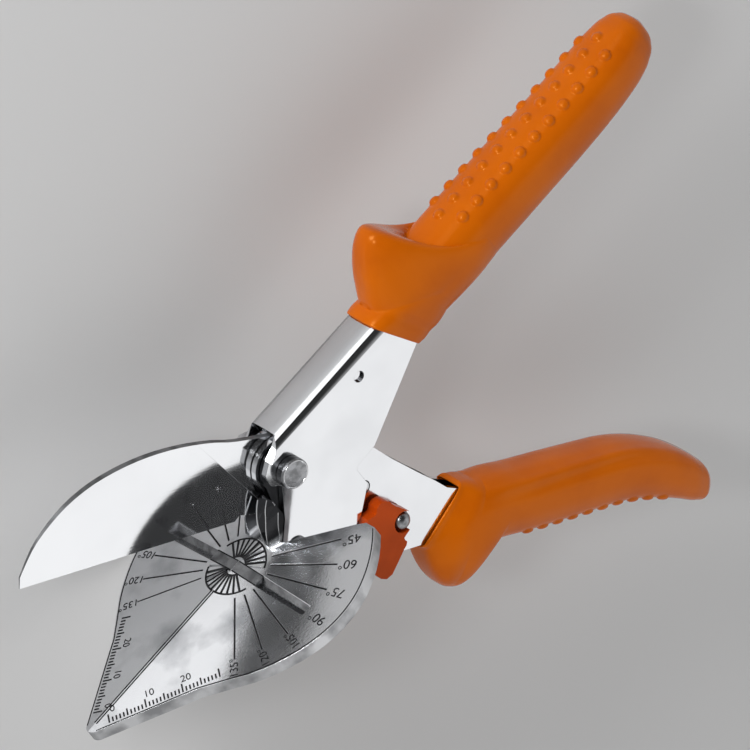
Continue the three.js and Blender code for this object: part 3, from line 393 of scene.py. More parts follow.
# Three rows of dots, the side ones one dot shorter and this many degrees round from the middle
dots = {"radius": 1.5, "count": 12, "side": 33, "first": 0.295, "last": 0.89, "cap": 0.9,
        "fillet": 0.1, "filletReach": 1.3, "filletWidth": 0.5}
# Soft fold along the lower grip: its angle round it, its drift and width, the dip beside it and
# the dip's depth, then where it starts and ends along the grip and how it eases in
ridge = {"angle": math.radians(322), "drift": math.radians(20), "wide": math.radians(11),
         "dip": math.radians(20), "dipDepth": 0.7, "start": 0.08, "end": 0.9, "ease": 0.25}


def superPower(value, square):
    # A cosine or sine raised to 2 / square, its sign kept: the sides of a superellipse
    return np.sign(value) * np.abs(value) ** (2 / square)


def smoothTable(place, table, column):
    # Cubic through the table's points, flat where neighbours agree
    places, values = table[:, 0], table[:, column]
    slope = np.gradient(values, places)
    i = np.clip(np.searchsorted(places, place, side="right") - 1, 0, len(places) - 2)
    run = places[i + 1] - places[i]
    t = (place - places[i]) / run
    steep = 3 * np.abs(values[i + 1] - values[i]) / run
    m0, m1 = np.clip(slope[i], -steep, steep), np.clip(slope[i + 1], -steep, steep)
    return ((2 * t**3 - 3 * t**2 + 1) * values[i] + (t**3 - 2 * t**2 + t) * run * m0
            + (3 * t**2 - 2 * t**3) * values[i + 1] + (t**3 - t**2) * run * m1)


def guardHump(size, place):
    # A quarter sine up to the peak and one down from it, each to a power, and a share of smoothstep
    before = (place - size["front"]) / (size["peak"] - size["front"])
    behind = (size["rear"] - place) / (size["rear"] - size["peak"])
    climb = np.clip(np.minimum(before, behind), 0, 1)
    power = np.where(place < size["peak"], size["climb"], size["fall"])
    hump = np.sin(np.pi / 2 * climb) ** power
    return grip["sine"] * hump + (1 - grip["sine"]) * climb**2 * (3 - 2 * climb)


def foldRise(size, place, angle):
    # A bell across the fold's line, less a lower bell beside it, eased in at both of its ends
    along = (np.clip((place - ridge["start"]) / ridge["ease"], 0, 1)
             * np.clip((ridge["end"] - place) / ridge["ease"], 0, 1))
    off = angle - ridge["angle"] + ridge["drift"] * place
    bell = np.exp(-((off / ridge["wide"]) ** 2))
    dip = ridge["dipDepth"] * np.exp(-(((off - ridge["dip"]) / ridge["wide"]) ** 2))
    return size["ridge"] * along * (bell - dip)


def gripPoints(size, place, angle, square):
    # Superellipse rings along the handle, fuller or slimmer by the table, pulled out into a guard
    # whose crest sweeps back as it comes down the sides. The front is slanted in proportion to
    # height, the fold stands out along each ring's angle, and the tail droops as a parabola
    table = np.array(size["full"], float)
    length = size["end"] - size["start"]
    across, up = superPower(np.cos(angle), square), superPower(np.sin(angle), square)
    top, bottom, wide = (smoothTable(place, table, k) for k in (1, 2, 3))
    rise = grip["half"] * up * np.where(up > 0, top, bottom)
    swept = guardHump(size, place - size["sweep"] * (1 - np.clip(up, 0, 1)))
    full = rise + (size["guard"] - grip["half"]) * swept * np.clip(up, 0, None) ** size["narrow"]
    side = (grip["side"] * wide + size["bulge"] * swept) * across
    swell = foldRise(size, place, angle)
    full = full + swell * np.sin(angle)
    side = side + swell * np.cos(angle)
    slant = size["lean"] * np.clip(1 - place / grip["slant"], 0, 1) * rise
    x = size["start"] + place * length - slant
    late = np.clip((place - grip["droopStart"]) / (1 - grip["droopStart"]), 0, None)
    y = size["centre"] - size["drop"] * late**2 + size["flip"] * full
    return np.stack([x, y, side], axis=-1)


def domes(size, surface):
    # Each dome pushes the skin out by sqrt(1 - r^2), with a small parabolic fillet at its foot
    push = np.zeros(surface.shape[:2])
    pitch = (dots["last"] - dots["first"]) / (dots["count"] - 1)
    for row in (-1, 0, 1):
        angle = np.array([math.radians(90 - row * dots["side"])])
        for i in range(dots["count"] - abs(row)):
            place = dots["first"] + (i + abs(row) / 2) * pitch
            if place > size["lastDot"]:
                continue
            centre = gripPoints(size, np.array([place]), angle, grip["square"])[0]
            away = np.linalg.norm(surface - centre, axis=-1) / dots["radius"]
            cap = dots["cap"] * np.sqrt(np.clip(1 - away**2, 0, 1))
            foot = np.clip((dots["filletReach"] - away) / dots["filletWidth"], 0, 1) ** 2
            push = np.maximum(push, cap + dots["fillet"] * foot)
    outward = surface - surface.mean(axis=1, keepdims=True)
    outward[..., 0] = 0
    outward /= np.linalg.norm(outward, axis=-1, keepdims=True) + 1e-9
    return outward * (push * size["dotRise"])[..., None]


def pocketRings(size, front, angle):
    # From the pocket's bottom to its mouth, then over a lip, a half sine proud, to the front edge
    square = np.where(np.sin(angle) > 0, size["pocketTop"], grip["pocketSquare"])
    across, up = superPower(np.cos(angle), square), superPower(np.sin(angle), square)
    rings = []
    for run, top, bottom, side in size["pocket"]:
        rise = up * np.where(up > 0, top, bottom)
        lean = size["lean"] * rise if run == 0 else 0 * rise
        rings.append(np.stack([size["start"] + run - lean, size["centre"] + size["flip"] * rise,
                               side * across], -1))
    mouth = rings[0]
    lip = [mouth + (front - mouth) * t - np.array([grip["lip"] * math.sin(math.pi * t), 0, 0])
           for t in grip["lipSteps"]]
    return np.array(rings[::-1] + lip)


def gripSurface(name, size):
    # Pocket and skin in one closed surface, its rings closer together at the round of the tail
    even = np.linspace(0, 1, grip["rows"])
    tail, rest = grip["tail"], 1 - grip["tail"]
    closer = tail + rest * np.sin((even - tail) / rest * np.pi / 2)
    place = np.where(even > tail, closer, even)[:, None]
    angle = (2 * np.pi * np.arange(grip["columns"]) / grip["columns"])[None, :]
    front = np.where(np.sin(angle) > 0, size["topSquare"], grip["frontSquare"])
    square = grip["square"] + (front - grip["square"]) * np.clip(1 - place / grip["collar"], 0, 1)
    surface = gripPoints(size, place, angle, square)
    surface += domes(size, surface)
    rings = np.concatenate([pocketRings(size, surface[0], angle[0]), surface])
    return closedGrid(name, rings, gripMaterial, grip["smooth"])


print("grips")
placed(gripSurface("upper_grip_skin", upperGrip), "upper_side", "upper_grip")
lowerSkin = gripSurface("lower_grip_skin", lowerGrip)
reshaped(lowerSkin.data, opened)
placed(lowerSkin, "lower_side", "lower_grip")

# Markings on the anvil, each lying on one wing's slope

# The wings' slope, the nose's half angle and point, and the rim's arc from heel to shoulder, whose
# radius falls by a share as it eases between two places
plate = {"roof": math.radians(6), "halfAngle": math.radians(34.3), "start": -57.0,
         "radius": 37.3, "heelAngle": 43.5, "shoulderAngle": 138.0, "ease": (0.28, 0.88),
         "fall": 0.083}
lift = 0.05  # how far marks stand off the plate
# Figures have a size and place below and from a hundred; the first gives way to the rim's corner
degrees = {"angles": range(45, 136, 15), "groove": 90, "hundred": 100, "start": 9.8, "end": 28.4,
           "steps": 8, "width": 0.42, "sunk": -0.12, "figure": (3.7, 3.1),
           "figureRadius": (31.2, 30.9), "firstFigure": 46.6}
# Tick lengths are for tens, fives and the rest; a figure stands beside its tick and in from it
scale = {"zero": 7.3, "count": 31, "inset": 0.9, "width": 0.42, "lengths": (2.6, 2.1, 1.4),
         "numbered": (0, 10, 20), "figure": 2.9, "beside": 1.4, "inward": 3.9}
outline = {"inset": 0.5, "width": 0.3, "middle": (-10.0, 12.0), "straight": (3.0, 30.5),
           "straightSteps": 24, "rimSteps": 60, "cornerSteps": 2}
# A line of painted shade beside the ridge: where it runs along the tool, how far off, how wide
ridgeLine = {"x": (-52.5, -30, -8.6), "away": 0.4, "width": 0.36}
# Painted shade on the rosette: ribs to a quarter inside an arc, the groove's two edges, and the
# dark band between them
rosette = {"ribs": (6, 18, 30, 42, 54), "rib": (2.6, 8.3), "ribSteps": 5, "ribWidth": 0.6,
           "arc": (1, 66), "arcSteps": 24, "arcRadius": 8.4, "arcWidth": 0.5,
           "edge": 1.5, "edgeRun": (0.2, 4.0, 9.2), "edgeWidth": 0.35,
           "bandRun": (0.1, 5.0, 9.3), "bandWidth": 2.9}


def wingPoint(side, along, away, raised):
    # Along the tool, down the slope by tan(roof) for each millimetre off the ridge, and to its side
    along, away = np.asarray(along, float), np.asarray(away, float)
    return np.stack([along, raised - np.abs(away) * math.tan(plate["roof"]), side * away], axis=-1)


def rimAt(share):
    # An arc about the centre, its radius falling by a smoothstep between two shares of its length
    low, high = plate["ease"]
    t = np.clip((share - low) / (high - low), 0, 1)
    reach = plate["radius"] * (1 - plate["fall"] * t * t * (3 - 2 * t))
    angle = np.radians(plate["heelAngle"] + share * (plate["shoulderAngle"] - plate["heelAngle"]))
    return np.stack([reach * np.cos(angle), reach * np.sin(angle)], axis=-1)


def straightEdge(run, inset):
    # A point along the straight side from the nose, set in from the edge
    way = np.array([math.cos(plate["halfAngle"]), math.sin(plate["halfAngle"])])
    inward = np.array([way[1], -way[0]])
    return np.array([plate["start"], 0]) + way * run + inward * inset


def ribbon(side, path, width, raised=lift):
    # A flat strip along a path in a wing's plane, as points and quads
    path = np.asarray(path, float)
    way = np.gradient(path, axis=0)
    way /= np.linalg.norm(way, axis=1, keepdims=True)
    across = np.stack([-way[:, 1], way[:, 0]], axis=-1) * width / 2
    both = np.stack([path + across, path - across], axis=1).reshape(-1, 2)
    points = wingPoint(side, both[:, 0], both[:, 1], raised)
    i = np.arange(len(path) - 1) * 2
    return points, np.stack([i, i + 1, i + 3, i + 2], axis=-1)


def gathered(name, parts, look):
    # Joins flat pieces into one object, their faces turned up off the plate
    points, faces, start = np.concatenate([part for part, _ in parts]), [], 0
    for part, corners in parts:
        faces += (np.asarray(corners) + start).tolist()
        start += len(part)
    a, b, c = points[np.array([f[:3] for f in faces])].transpose(1, 0, 2)
    upward = np.cross(b - a, c - a)[:, 1] > 0
    faces = [f if up else f[::-1] for f, up in zip(faces, upward)]
    return meshObject(name, points, faces, look)


def figures(side, text, size, centre, reading):
    # Figures laid on a wing: their tops are a quarter turn anticlockwise from the reading direction
    curve = bpy.data.curves.new("figures", "FONT")
    curve.body = text
    curve.size = size
    curve.align_x = curve.align_y = "CENTER"
    holder = bpy.data.objects.new("figures", curve)
    bpy.context.collection.objects.link(holder)
    bpy.context.view_layer.update()
    mesh = bpy.data.meshes.new_from_object(holder)
    flat = meshPoints(mesh)
    faces = [list(p.vertices) for p in mesh.polygons]
    bpy.data.objects.remove(holder)
    bpy.data.meshes.remove(mesh)
    bpy.data.curves.remove(curve)
    reading = np.array(reading, float) / np.linalg.norm(reading)
    top = np.array([reading[1], -reading[0]])
    spot = np.array(centre) + flat[:, :1] * reading + flat[:, 1:2] * top
    return wingPoint(side, spot[:, 0], spot[:, 1] * side, lift), faces


def degreeMarks(side):
    # Lines fanned out from the centre, all but the groove's, and their figures
    lines, texts = [], []
    for angle in degrees["angles"]:
        ray = np.array([math.cos(math.radians(angle)), math.sin(math.radians(angle))])
        if angle != degrees["groove"]:
            path = np.linspace(degrees["start"], degrees["end"], degrees["steps"])[:, None] * ray
            lines.append(ribbon(side, path, degrees["width"], degrees["sunk"]))
        long = int(angle >= degrees["hundred"])
        turn = math.radians(max(angle, degrees["firstFigure"]))
        centre = degrees["figureRadius"][long] * np.array([math.cos(turn), side * math.sin(turn)])
        reading = (-side * ray) * np.array([1, side])
        texts.append(figures(side, f"{angle}\u00b0", degrees["figure"][long], centre, reading))
    return lines, texts


def scaleMarks(side):
    # Ticks a millimetre apart along the straight edge, and their figures
    ticks, texts = [], []
    for i in range(scale["count"]):
        long = scale["lengths"][0 if i % 10 == 0 else 1 if i % 5 == 0 else 2]
        path = [straightEdge(scale["zero"] + i, scale["inset"] + t * long) for t in (0, 0.5, 1)]
        ticks.append(ribbon(side, path, scale["width"]))
    for i in scale["numbered"]:
        centre = straightEdge(scale["zero"] + i + scale["beside"], scale["inset"] + scale["inward"])
        way = np.array([side * math.cos(plate["halfAngle"]), math.sin(plate["halfAngle"])])
        texts.append(figures(side, str(i), scale["figure"], centre * np.array([1, side]), way))
    return ticks, texts


def outlineMarks(side):
    # One line set in from the straight edge and the rim, and one of painted shade beside the ridge
    runs = np.linspace(*outline["straight"], outline["straightSteps"])
    rim = rimAt(np.linspace(1.0, 0.0, outline["rimSteps"]))[outline["cornerSteps"]:]
    path = np.concatenate([[straightEdge(run, 0.0) for run in runs], rim])
    inward = np.array(outline["middle"]) - path
    inward = inward / np.linalg.norm(inward, axis=1, keepdims=True)
    return [ribbon(side, path + inward * outline["inset"], outline["width"]),
            ribbon(side, [(x, ridgeLine["away"]) for x in ridgeLine["x"]], ridgeLine["width"])]


def rosetteMarks(side):
    # Dark lines of painted shade: straight ribs, the arc round them, and the groove's edge, to
    # either way of the upright
    parts = []
    for way in (1, -1):
        for turn in np.radians(rosette["ribs"]):
            ray = np.array([way * math.cos(turn), math.sin(turn)])
            path = np.linspace(*rosette["rib"], rosette["ribSteps"])[:, None] * ray
            parts.append(ribbon(side, path, rosette["ribWidth"]))
        turns = np.radians(np.linspace(*rosette["arc"], rosette["arcSteps"]))
        ring = np.stack([way * np.cos(turns), np.sin(turns)], -1)
        parts.append(ribbon(side, rosette["arcRadius"] * ring, rosette["arcWidth"]))
        edge = [(way * rosette["edge"], away) for away in rosette["edgeRun"]]
        parts.append(ribbon(side, edge, rosette["edgeWidth"]))
    return parts


print("markings")
strips, letters, bands = [], [], []
for _, side in bothSides:
    lines, angleFigures = degreeMarks(side)
    ticks, scaleFigures = scaleMarks(side)
    strips += lines + ticks + outlineMarks(side) + rosetteMarks(side)
    letters += angleFigures + scaleFigures
    bands.append(ribbon(side, [(0, away) for away in rosette["bandRun"]], rosette["bandWidth"]))
placed(gathered("anvil_marks_and_painted_shade", strips, inkAndShadeMaterial), "upper_side")
# A band of painted shade where the groove runs through the rosette
placed(gathered("rosette_shade_band", bands, grooveMaterial), "upper_side")
placed(gathered("anvil_numbers", letters, inkAndShadeMaterial), "upper_side")

# The square groove's walls, darkened with painted shade, as a V laid just over them: its run down
# the wing, its half width, its depth, where it would come out of the plate, and how far it lies
# over
groove = {"run": (9.2, 26.6), "half": 1.5, "depth": 1.28, "mouth": 1.7, "over": 0.06,
          "rows": 20, "columns": 9, "smooth": 20}

for number, side in bothSides:
    run = np.linspace(*groove["run"], groove["rows"])[:, None]
    cross = np.linspace(-groove["half"], groove["half"], groove["columns"])[None, :]
    depth = groove["depth"] * (1 - np.abs(cross) / groove["mouth"]) - groove["over"]
    points = wingPoint(side, np.repeat(cross, groove["rows"], axis=0),
                       np.repeat(run, groove["columns"], axis=1), -depth)
    faces = gridFaces(groove["rows"], groove["columns"], wrap=False)
    faces = [f[::-1] for f in faces] if side > 0 else faces
    placed(meshObject(f"groove_painted_shade_{number}", points, faces, grooveMaterial, groove["smooth"]),
           "upper_side")

# Metal pieces that keep the frame's shape, with rounded edges

# The upper handle's outer bend: its web's top, its wall's side, the reach of the solid's bend and
# of the drawn one, and how near to the solid's bend, or past it, a point has to be to move
bend = {"top": 23.3, "side": 6.3, "cad": 3.2, "wide": 4.5, "near": 0.03, "past": 0.01}


def widerBend(points):
    # Wall to web is a quadratic curve, reach * (1 - t)^2 down and reach * t^2 in; the reach grows
    x, y, z = points.T
    t = 1 - np.sqrt(np.clip((bend["top"] - y) / bend["cad"], 0, None))
    off = np.abs(np.abs(z) - bend["side"] + bend["cad"] * t**2)
    onCurve = (t > -bend["past"]) & (off < bend["near"])
    wideY = bend["top"] - bend["wide"] * (1 - t) ** 2
    wideZ = np.sign(z) * (bend["side"] - bend["wide"] * t**2)
    return np.stack([x, np.where(onCurve, wideY, y), np.where(onCurve, wideZ, z)], axis=-1)


print("metal")
# Body, slot, finish, edge radius, the angle from which edges are rounded, and the angle up to
# which faces shade as one
metalPieces = {
    "upper_handle": ("upper_side", "plated_steel", plateMaterial, 0.25, 28, 35),
    "lower_handle": ("lower_side", "plated_steel", plateMaterial, 0.25, 28, 35),
    "anvil": ("upper_side", "casting", castingMaterial, 0.06, 28, 16),
    "blade": ("lower_side", "blade_steel", bladeMaterial, 0.08, 60, 40),
    "pivot_nut": ("upper_side", "fastener", fastenerMaterial, 0.3, 28, 35),
    "safety_catch": ("catch", "catch_plastic", catchMaterial, 0.55, 28, 40),
    "catch_washer": ("lower_side", "fastener", fastenerMaterial, 0.08, 28, 35),
    "pivot_washer": ("upper_side", "fastener", fastenerMaterial, 0.15, 28, 35),
}
# Sides duller than the faces: the axis they stand along, the most their normal leans to it, finish
sideLooks = {"blade": (2, 0.05, edgeAndShadeMaterial), "anvil": (1, 0.2, rimMaterial)}
wingMatch = 0.9995  # cosine from which a face of the anvil is one of its flat wings
for name, (body, slot, look, edge, bevelAngle, smoothAngle) in metalPieces.items():
    # The rounded edges of plated pieces take the cut edge's dark, which is partly painted shade
    edgeLook = edgeAndShadeMaterial if look is plateMaterial else None
    reshape = widerBend if name == "upper_handle" else None
    made = dressedNode(name, look, edge, bevelAngle, smoothAngle, edgeLook, reshape)
    if name in sideLooks:
        axis, limit, sideMaterial = sideLooks[name]
        made.data.materials.append(sideMaterial)
        normals = np.zeros(len(made.data.polygons) * 3)
        made.data.polygons.foreach_get("normal", normals)
        normals = np.abs(normals.reshape(-1, 3))
        made.data.polygons.foreach_set("material_index", (normals[:, axis] < limit).astype(int))
    if name == "anvil":
        slope = np.array([0, math.cos(plate["roof"]), math.sin(plate["roof"])])
        made.data.polygons.foreach_set("use_smooth", normals @ slope <= wingMatch)
    placed(made, body, name)

# Fasteners turned about their own axes, each a profile of radius and place across the tool

lathe = {"columns": 72, "smooth": 30, "domeEnd": 1.55}
wall = {"upper": 6.5, "catch": 6.3}  # where heads sit across the tool
bolt = {"shank": 2.5, "head": 4.0, "rise": 2.5, "round": 0.35, "roundEnd": 84, "steps": 10,
        "crown": 0.05, "crownSteps": (0.1, 0.3, 0.6, 0.98), "tail": 12.1, "chamfer": 0.5,
        "foot": 0.1}
# The band round the head's side, where it meets the wall, is painted shade
boltSide = {"proud": 0.03, "deep": 0.4, "under": 0.02, "below": 0.75}  # dark band round the head
boltRing = {"inset": 0.1, "sunk": 0.02, "wire": 0.13, "turn": 170, "steps": 14}  # bright ring
pin = {"radius": 1.6, "head": 2.56, "rise": 1.6, "steps": 10,
       "places": {"anvil_pin_front": (14.1, -5.6), "anvil_pin_rear": (17.0, -12.0)}}
rivet = {"radius": 1.5, "half": 2.95, "round": 0.2, "steps": 5, "reach": 9.2, "tilt": -30,
         "spread": {"blade_rivet_front": 34, "blade_rivet_rear": -34}}
catchRivet = {"x": 58.4, "y": -9.4, "bore": 1.5, "head": 2.4, "rise": 2.8, "side": 0.9,
              "inner": 2.4, "steps": 14}
post = {"x": 49.0, "y": 1.0, "radius": 1.7, "half": 4.1}


def arc(centre, radius, start, end, count):
    # Points of an arc, angles in degrees from the radius towards the tool's near side
    turn = np.radians(np.linspace(start, end, count))
    return np.stack([centre[0] + radius * np.cos(turn), centre[1] + radius * np.sin(turn)], axis=-1)


def dome(radius, base, rise, count):
    # A quarter ellipse from the edge of a head nearly to its middle
    turn = np.linspace(0, lathe["domeEnd"], count)
    return np.stack([radius * np.cos(turn), base + rise * np.sin(turn)], axis=-1)


def mirrored(half):
    # Both ends of a pin that is alike on the tool's two sides
    return np.concatenate([half[::-1] * (1, -1), half])


def roundedPin(radius, half):
    edge = rivet["round"]
    return mirrored(arc((radius - edge, half - edge), edge, 0, 90, rivet["steps"]))


def turned(name, profile, x, y, body, node=None, look=fastenerMaterial):
    # The profile swept round its axis: radius * cos and radius * sin, with its own place across
    profile, columns = np.asarray(profile), lathe["columns"]
    turn = 2 * np.pi * np.arange(columns) / columns
    grid = np.stack([profile[:, :1] * np.cos(turn), profile[:, :1] * np.sin(turn),
                     np.repeat(profile[:, 1:], columns, axis=1)], axis=-1) + np.array([x, y, 0])
    if body == "lower_side":
        grid = opened(grid)
    placed(closedGrid(name, grid, look, lathe["smooth"]), body, node)


print("fasteners")
high = wall["upper"] + bolt["rise"]
crownRadius = bolt["head"] - bolt["round"]
short = 1 - np.array(bolt["crownSteps"])
boltProfile = np.concatenate([
    [(bolt["shank"] - bolt["chamfer"], -bolt["tail"]),
     (bolt["shank"], -bolt["tail"] + bolt["chamfer"]), (bolt["shank"], wall["upper"]),
     (bolt["head"] - bolt["foot"], wall["upper"]), (bolt["head"], wall["upper"] + bolt["foot"])],
    arc((crownRadius, high - bolt["round"] - bolt["crown"]), bolt["round"], 0, bolt["roundEnd"],
        bolt["steps"]),
    np.stack([crownRadius * short, high - bolt["crown"] * short**2], axis=-1)])
inside, outside = bolt["head"] - boltSide["deep"], bolt["head"] + boltSide["proud"]
bandLow, bandHigh = wall["upper"] - boltSide["under"], high - boltSide["below"]
boltBand = [(inside, bandLow), (outside, bandLow), (outside, bandHigh), (inside, bandHigh)]
ringCentre = (crownRadius - boltRing["inset"], high - bolt["crown"] - boltRing["sunk"])
ringProfile = arc(ringCentre, boltRing["wire"], -boltRing["turn"], boltRing["turn"],
                  boltRing["steps"])
for name, profile, node, look in (("turned", boltProfile, "pivot_bolt", boltMaterial),
                                  ("side", boltBand, None, shadowMaterial),
                                  ("ring", ringProfile, None, plateMaterial)):
    turned("pivot_bolt_" + name, profile, pivot["x"], pivot["y"], "upper_side", node, look)
pinEnd = np.concatenate([[(pin["radius"], wall["upper"])],
                         dome(pin["head"], wall["upper"], pin["rise"], pin["steps"])])
for name, (x, y) in pin["places"].items():
    turned(name + "_turned", mirrored(pinEnd), x, y, "upper_side", name, boltMaterial)
for name, spread in rivet["spread"].items():
    angle = math.radians(spread + rivet["tilt"])
    turned(name + "_turned", roundedPin(rivet["radius"], rivet["half"]),
           pivot["x"] + rivet["reach"] * math.cos(angle),
           pivot["y"] + rivet["reach"] * math.sin(angle), "lower_side", name)
turned("spring_post_turned", roundedPin(post["radius"], post["half"]), post["x"], post["y"],
       "lower_side", "spring_post")
catchProfile = np.concatenate([
    [(catchRivet["bore"], catchRivet["inner"]), (catchRivet["bore"], wall["catch"]),
     (catchRivet["head"], wall["catch"])],
    dome(catchRivet["head"], wall["catch"] + catchRivet["side"],
         catchRivet["rise"] - catchRivet["side"], catchRivet["steps"])])
turned("catch_rivet_turned", catchProfile, catchRivet["x"], catchRivet["y"], "lower_side",
       "catch_rivet", boltMaterial)

# Return spring: a round wire wound on its post, with a leg to each handle's web

coil = {"wire": 0.8, "pitch": 1.25, "turns": 2, "gap": 0.3, "up": 103, "down": -58,
        "upperWeb": 21.6, "lowerWeb": -18.1, "clear": 3.2, "steps": 160, "legSteps": 11,
        "sides": 16, "smooth": 50}


def wireGrid(path, radius, sides):
    # Rings square to the way the wire runs: radius * cos across it and radius * sin over it
    way = np.gradient(path, axis=0)
    way /= np.linalg.norm(way, axis=1, keepdims=True)
    across = np.cross([0, 0, 1], way)
    across /= np.linalg.norm(across, axis=1, keepdims=True)
    over = np.cross(way, across)
    turn = (2 * np.pi * np.arange(sides) / sides)[None, :, None]
    return path[:, None] + radius * (np.cos(turn) * across[:, None] + np.sin(turn) * over[:, None])


def springPath():
    # A helix about the post, then a straight leg square to its last radius at each end
    radius = post["radius"] + coil["gap"] + coil["wire"] / 2
    upWay, downWay = math.radians(coil["up"]), math.radians(coil["down"])
    start = upWay + math.pi / 2
    end = downWay - math.pi / 2 + 2 * math.pi * (coil["turns"] + 1)
    share = np.linspace(0, 1, coil["steps"])
    angle = start + (end - start) * share
    height = coil["pitch"] * (end - start) / (2 * math.pi) * (share - 0.5)
    winding = np.stack([post["x"] + radius * np.cos(angle), post["y"] + radius * np.sin(angle),
                        height], axis=-1)
    head, tail = winding[0], winding[-1]
    clear = coil["gap"] + coil["wire"] / 2
    up = (coil["upperWeb"] - clear - opened(head)[1]) / math.sin(upWay - pivot["open"])
    down = (coil["lowerWeb"] + clear - tail[1]) / math.sin(downWay)
    legs = np.linspace(1, 0, coil["legSteps"] + 1)[:-1, None]
    first = head + legs * up * np.array([math.cos(upWay), math.sin(upWay), 0])
    last = tail + legs[::-1] * down * np.array([math.cos(downWay), math.sin(downWay), 0])
    return np.concatenate([first, winding, last])


print("spring")
wire = wireGrid(springPath(), coil["wire"] / 2, coil["sides"])
springWire = closedGrid("return_spring_wire", opened(wire), springMaterial, coil["smooth"])
# Where the coil's hub and the upper leg's end lie with the tool open
hub, tip = opened(np.array([post["x"], post["y"], 0.0])), opened(wire[0].mean(axis=0))
tip[2] = 0
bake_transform(springWire)
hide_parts("return_spring")

# Bright rounded edges of the plough: the rim beside the blade's slot, the crease, the wall's line

# Height, then where the rim is along and across the tool, and where the crease is, as shares
ploughRows = np.array([(0.0, 0.02, 0.55, 0.0, 0.75), (0.26, 0.15, 0.49, 0.26, 0.72),
                       (0.44, 0.3, 0.42, 0.5, 0.7), (0.63, 0.62, 0.3, 0.76, 0.68),
                       (0.74, 0.86, 0.25, 1.0, 0.66)])
plough = {"height": 14.2, "from": 0.01, "to": 0.72, "steps": 48, "front": 8.4, "rear": 16.0,
          "wall": 6.1, "slot": 1.25, "wallShare": 0.42, "wallGap": 0.2, "sides": 12, "smooth": 60}
beads = {"rim": 0.22, "crease": 0.15, "wall": 0.12}

print("plough")
up = np.linspace(plough["from"], plough["to"], plough["steps"])
rimX, rimZ, creaseX, creaseZ = (smoothTable(up, ploughRows, k) for k in (1, 2, 3, 4))
ploughLines = {  # each is a curve through the rows: share along the tool, millimetres across it
    "rim": (rimX, np.maximum(plough["slot"] + beads["rim"], rimZ * plough["wall"])),
    "crease": (creaseX, creaseZ * plough["wall"]),
    "wall": (np.minimum(1, creaseX + plough["wallShare"]),
             np.full(len(up), plough["wall"] - plough["wallGap"])),
}
for number, side in bothSides:
    for name, (along, away) in ploughLines.items():
        x = plough["front"] + (plough["rear"] - plough["front"]) * along
        line = np.stack([x, up * plough["height"], side * away], axis=-1)
        bead = wireGrid(line, beads[name], plough["sides"])
        placed(closedGrid(f"plough_{name}_{number}", bead, plateMaterial, plough["smooth"]),
               "upper_side")

# Camera and studio

view = {"right": (0.650263, -0.462373, 0.602801), "up": (0.734524, 0.585252, -0.343446),
        "back": (-0.193990, 0.666101, 0.720192), "alongRight": 34.46, "alongUp": 46.83,
        "pixelsPerMm": 4.06685, "image": 750, "lens": 900, "sensor": 36, "clip": (0.1, 100)}
# Soft light: place in metres, side in metres, watts
lamps = {"key": ((-0.25, 1.1, 0.32), 0.4, 7.0), "spark": ((-0.45, 0.95, 0.8), 0.16, 2.4),
         "fill": ((-0.8, -0.4, 0.9), 0.8, 0.6)}
# Sky: its plain level, then patches: direction, the cosines where each starts and is full, level
sky = {"plain": 0.55, "patches": (((0.19, -0.67, 0.72), 0.74, 0.95, 1.0),
                                  ((0.19, 0.5, 0.84), 0.62, 0.86, 0.03),
                                  ((0.1, 0.98, 0.12), 0.9, 0.955, 1.3))}
floor = {"reach": 4.0, "low": -0.0005,
         "paint": {"Base Color": (0.7, 0.7, 0.7, 1), "Roughness": 0.9}}
# A pale panel on the floor, out of the picture and seen only in reflections, that the near wing
# mirrors: corners in millimetres from the ridge's centre, height in metres
card = {"corners": ((10, 44), (4, 115), (-130, 150), (-130, 44)), "low": 0.002,
        "paint": {"Emission Color": (1, 1, 1, 1), "Emission Strength": 0.5}}


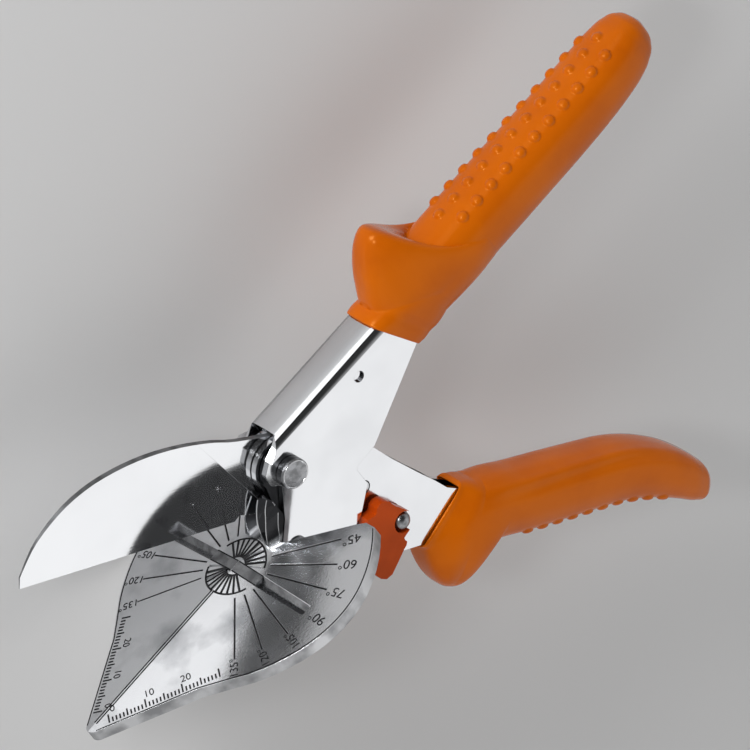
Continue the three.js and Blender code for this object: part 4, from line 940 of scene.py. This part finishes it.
def addCamera():
    # No perspective to speak of: a very long lens, as far back as the picture's width asks for
    right, up, back = (np.array(view[k]) for k in ("right", "up", "back"))
    target = origin + view["alongRight"] * right + view["alongUp"] * up
    data = bpy.data.cameras.new("camera")
    data.lens = view["lens"]
    data.sensor_width = view["sensor"]
    data.clip_start, data.clip_end = view["clip"]
    distance = view["image"] / view["pixelsPerMm"] * view["lens"] / view["sensor"]
    camera = bpy.data.objects.new("camera", data)
    bpy.context.collection.objects.link(camera)
    turn = Matrix((right, up, back)).transposed().to_4x4()
    camera.matrix_world = Matrix.Translation(Vector((target + distance * back) * mm)) @ turn
    bpy.context.scene.camera = camera


def addLamps():
    for name, (place, size, power) in lamps.items():
        lamp = bpy.data.lights.new(name, "AREA")
        lamp.energy = power
        lamp.size = size
        lit = bpy.data.objects.new(name, lamp)
        bpy.context.collection.objects.link(lit)
        lit.location = place
        lit.rotation_mode = "QUATERNION"
        lit.rotation_quaternion = Vector(place).to_track_quat("Z", "Y")


def stageSheet(name, corners, values):
    # A flat sheet of the studio in a plain paint
    mesh = bpy.data.meshes.new(name)
    mesh.from_pydata([(x, y, values["low"]) for x, y in corners], [], [(0, 1, 2, 3)])
    paint = bpy.data.materials.new(name + "_paint")
    paint.use_nodes = True
    tree = paint.node_tree
    fed(tree, tree.nodes["Principled BSDF"].inputs, values["paint"])
    mesh.materials.append(paint)
    sheet = bpy.data.objects.new(name, mesh)
    bpy.context.collection.objects.link(sheet)
    return sheet


def addFloor():
    corners = floor["reach"] * np.array(((-1, -1), (1, -1), (1, 1), (-1, 1)))
    stageSheet("floor", corners, floor)


def addCard():
    panel = stageSheet("card", (np.array(card["corners"]) + origin[:2]) * mm, card)
    panel.visible_camera = panel.visible_diffuse = panel.visible_shadow = False


def addSky():
    # The plain level, faded to each patch's own by how nearly the direction points at its middle
    world = bpy.data.worlds.new("studio")
    world.use_nodes = True
    tree = world.node_tree
    toward = tree.nodes.new("ShaderNodeTexCoord").outputs["Generated"]
    level = sky["plain"]
    for direction, start, full, patch in sky["patches"]:
        near = added(tree, "ShaderNodeVectorMath", {0: toward, 1: Vector(direction).normalized()},
                     operation="DOT_PRODUCT")
        level = mapRange(tree, near.outputs["Value"], level, patch, start, full)
    fed(tree, tree.nodes["Background"].inputs, {"Color": (1, 1, 1, 1), "Strength": level})
    bpy.context.scene.world = world


print("studio")
addCamera()
addLamps()
addFloor()
addCard()
addSky()
bpy.context.scene.view_settings.view_transform = "Standard"
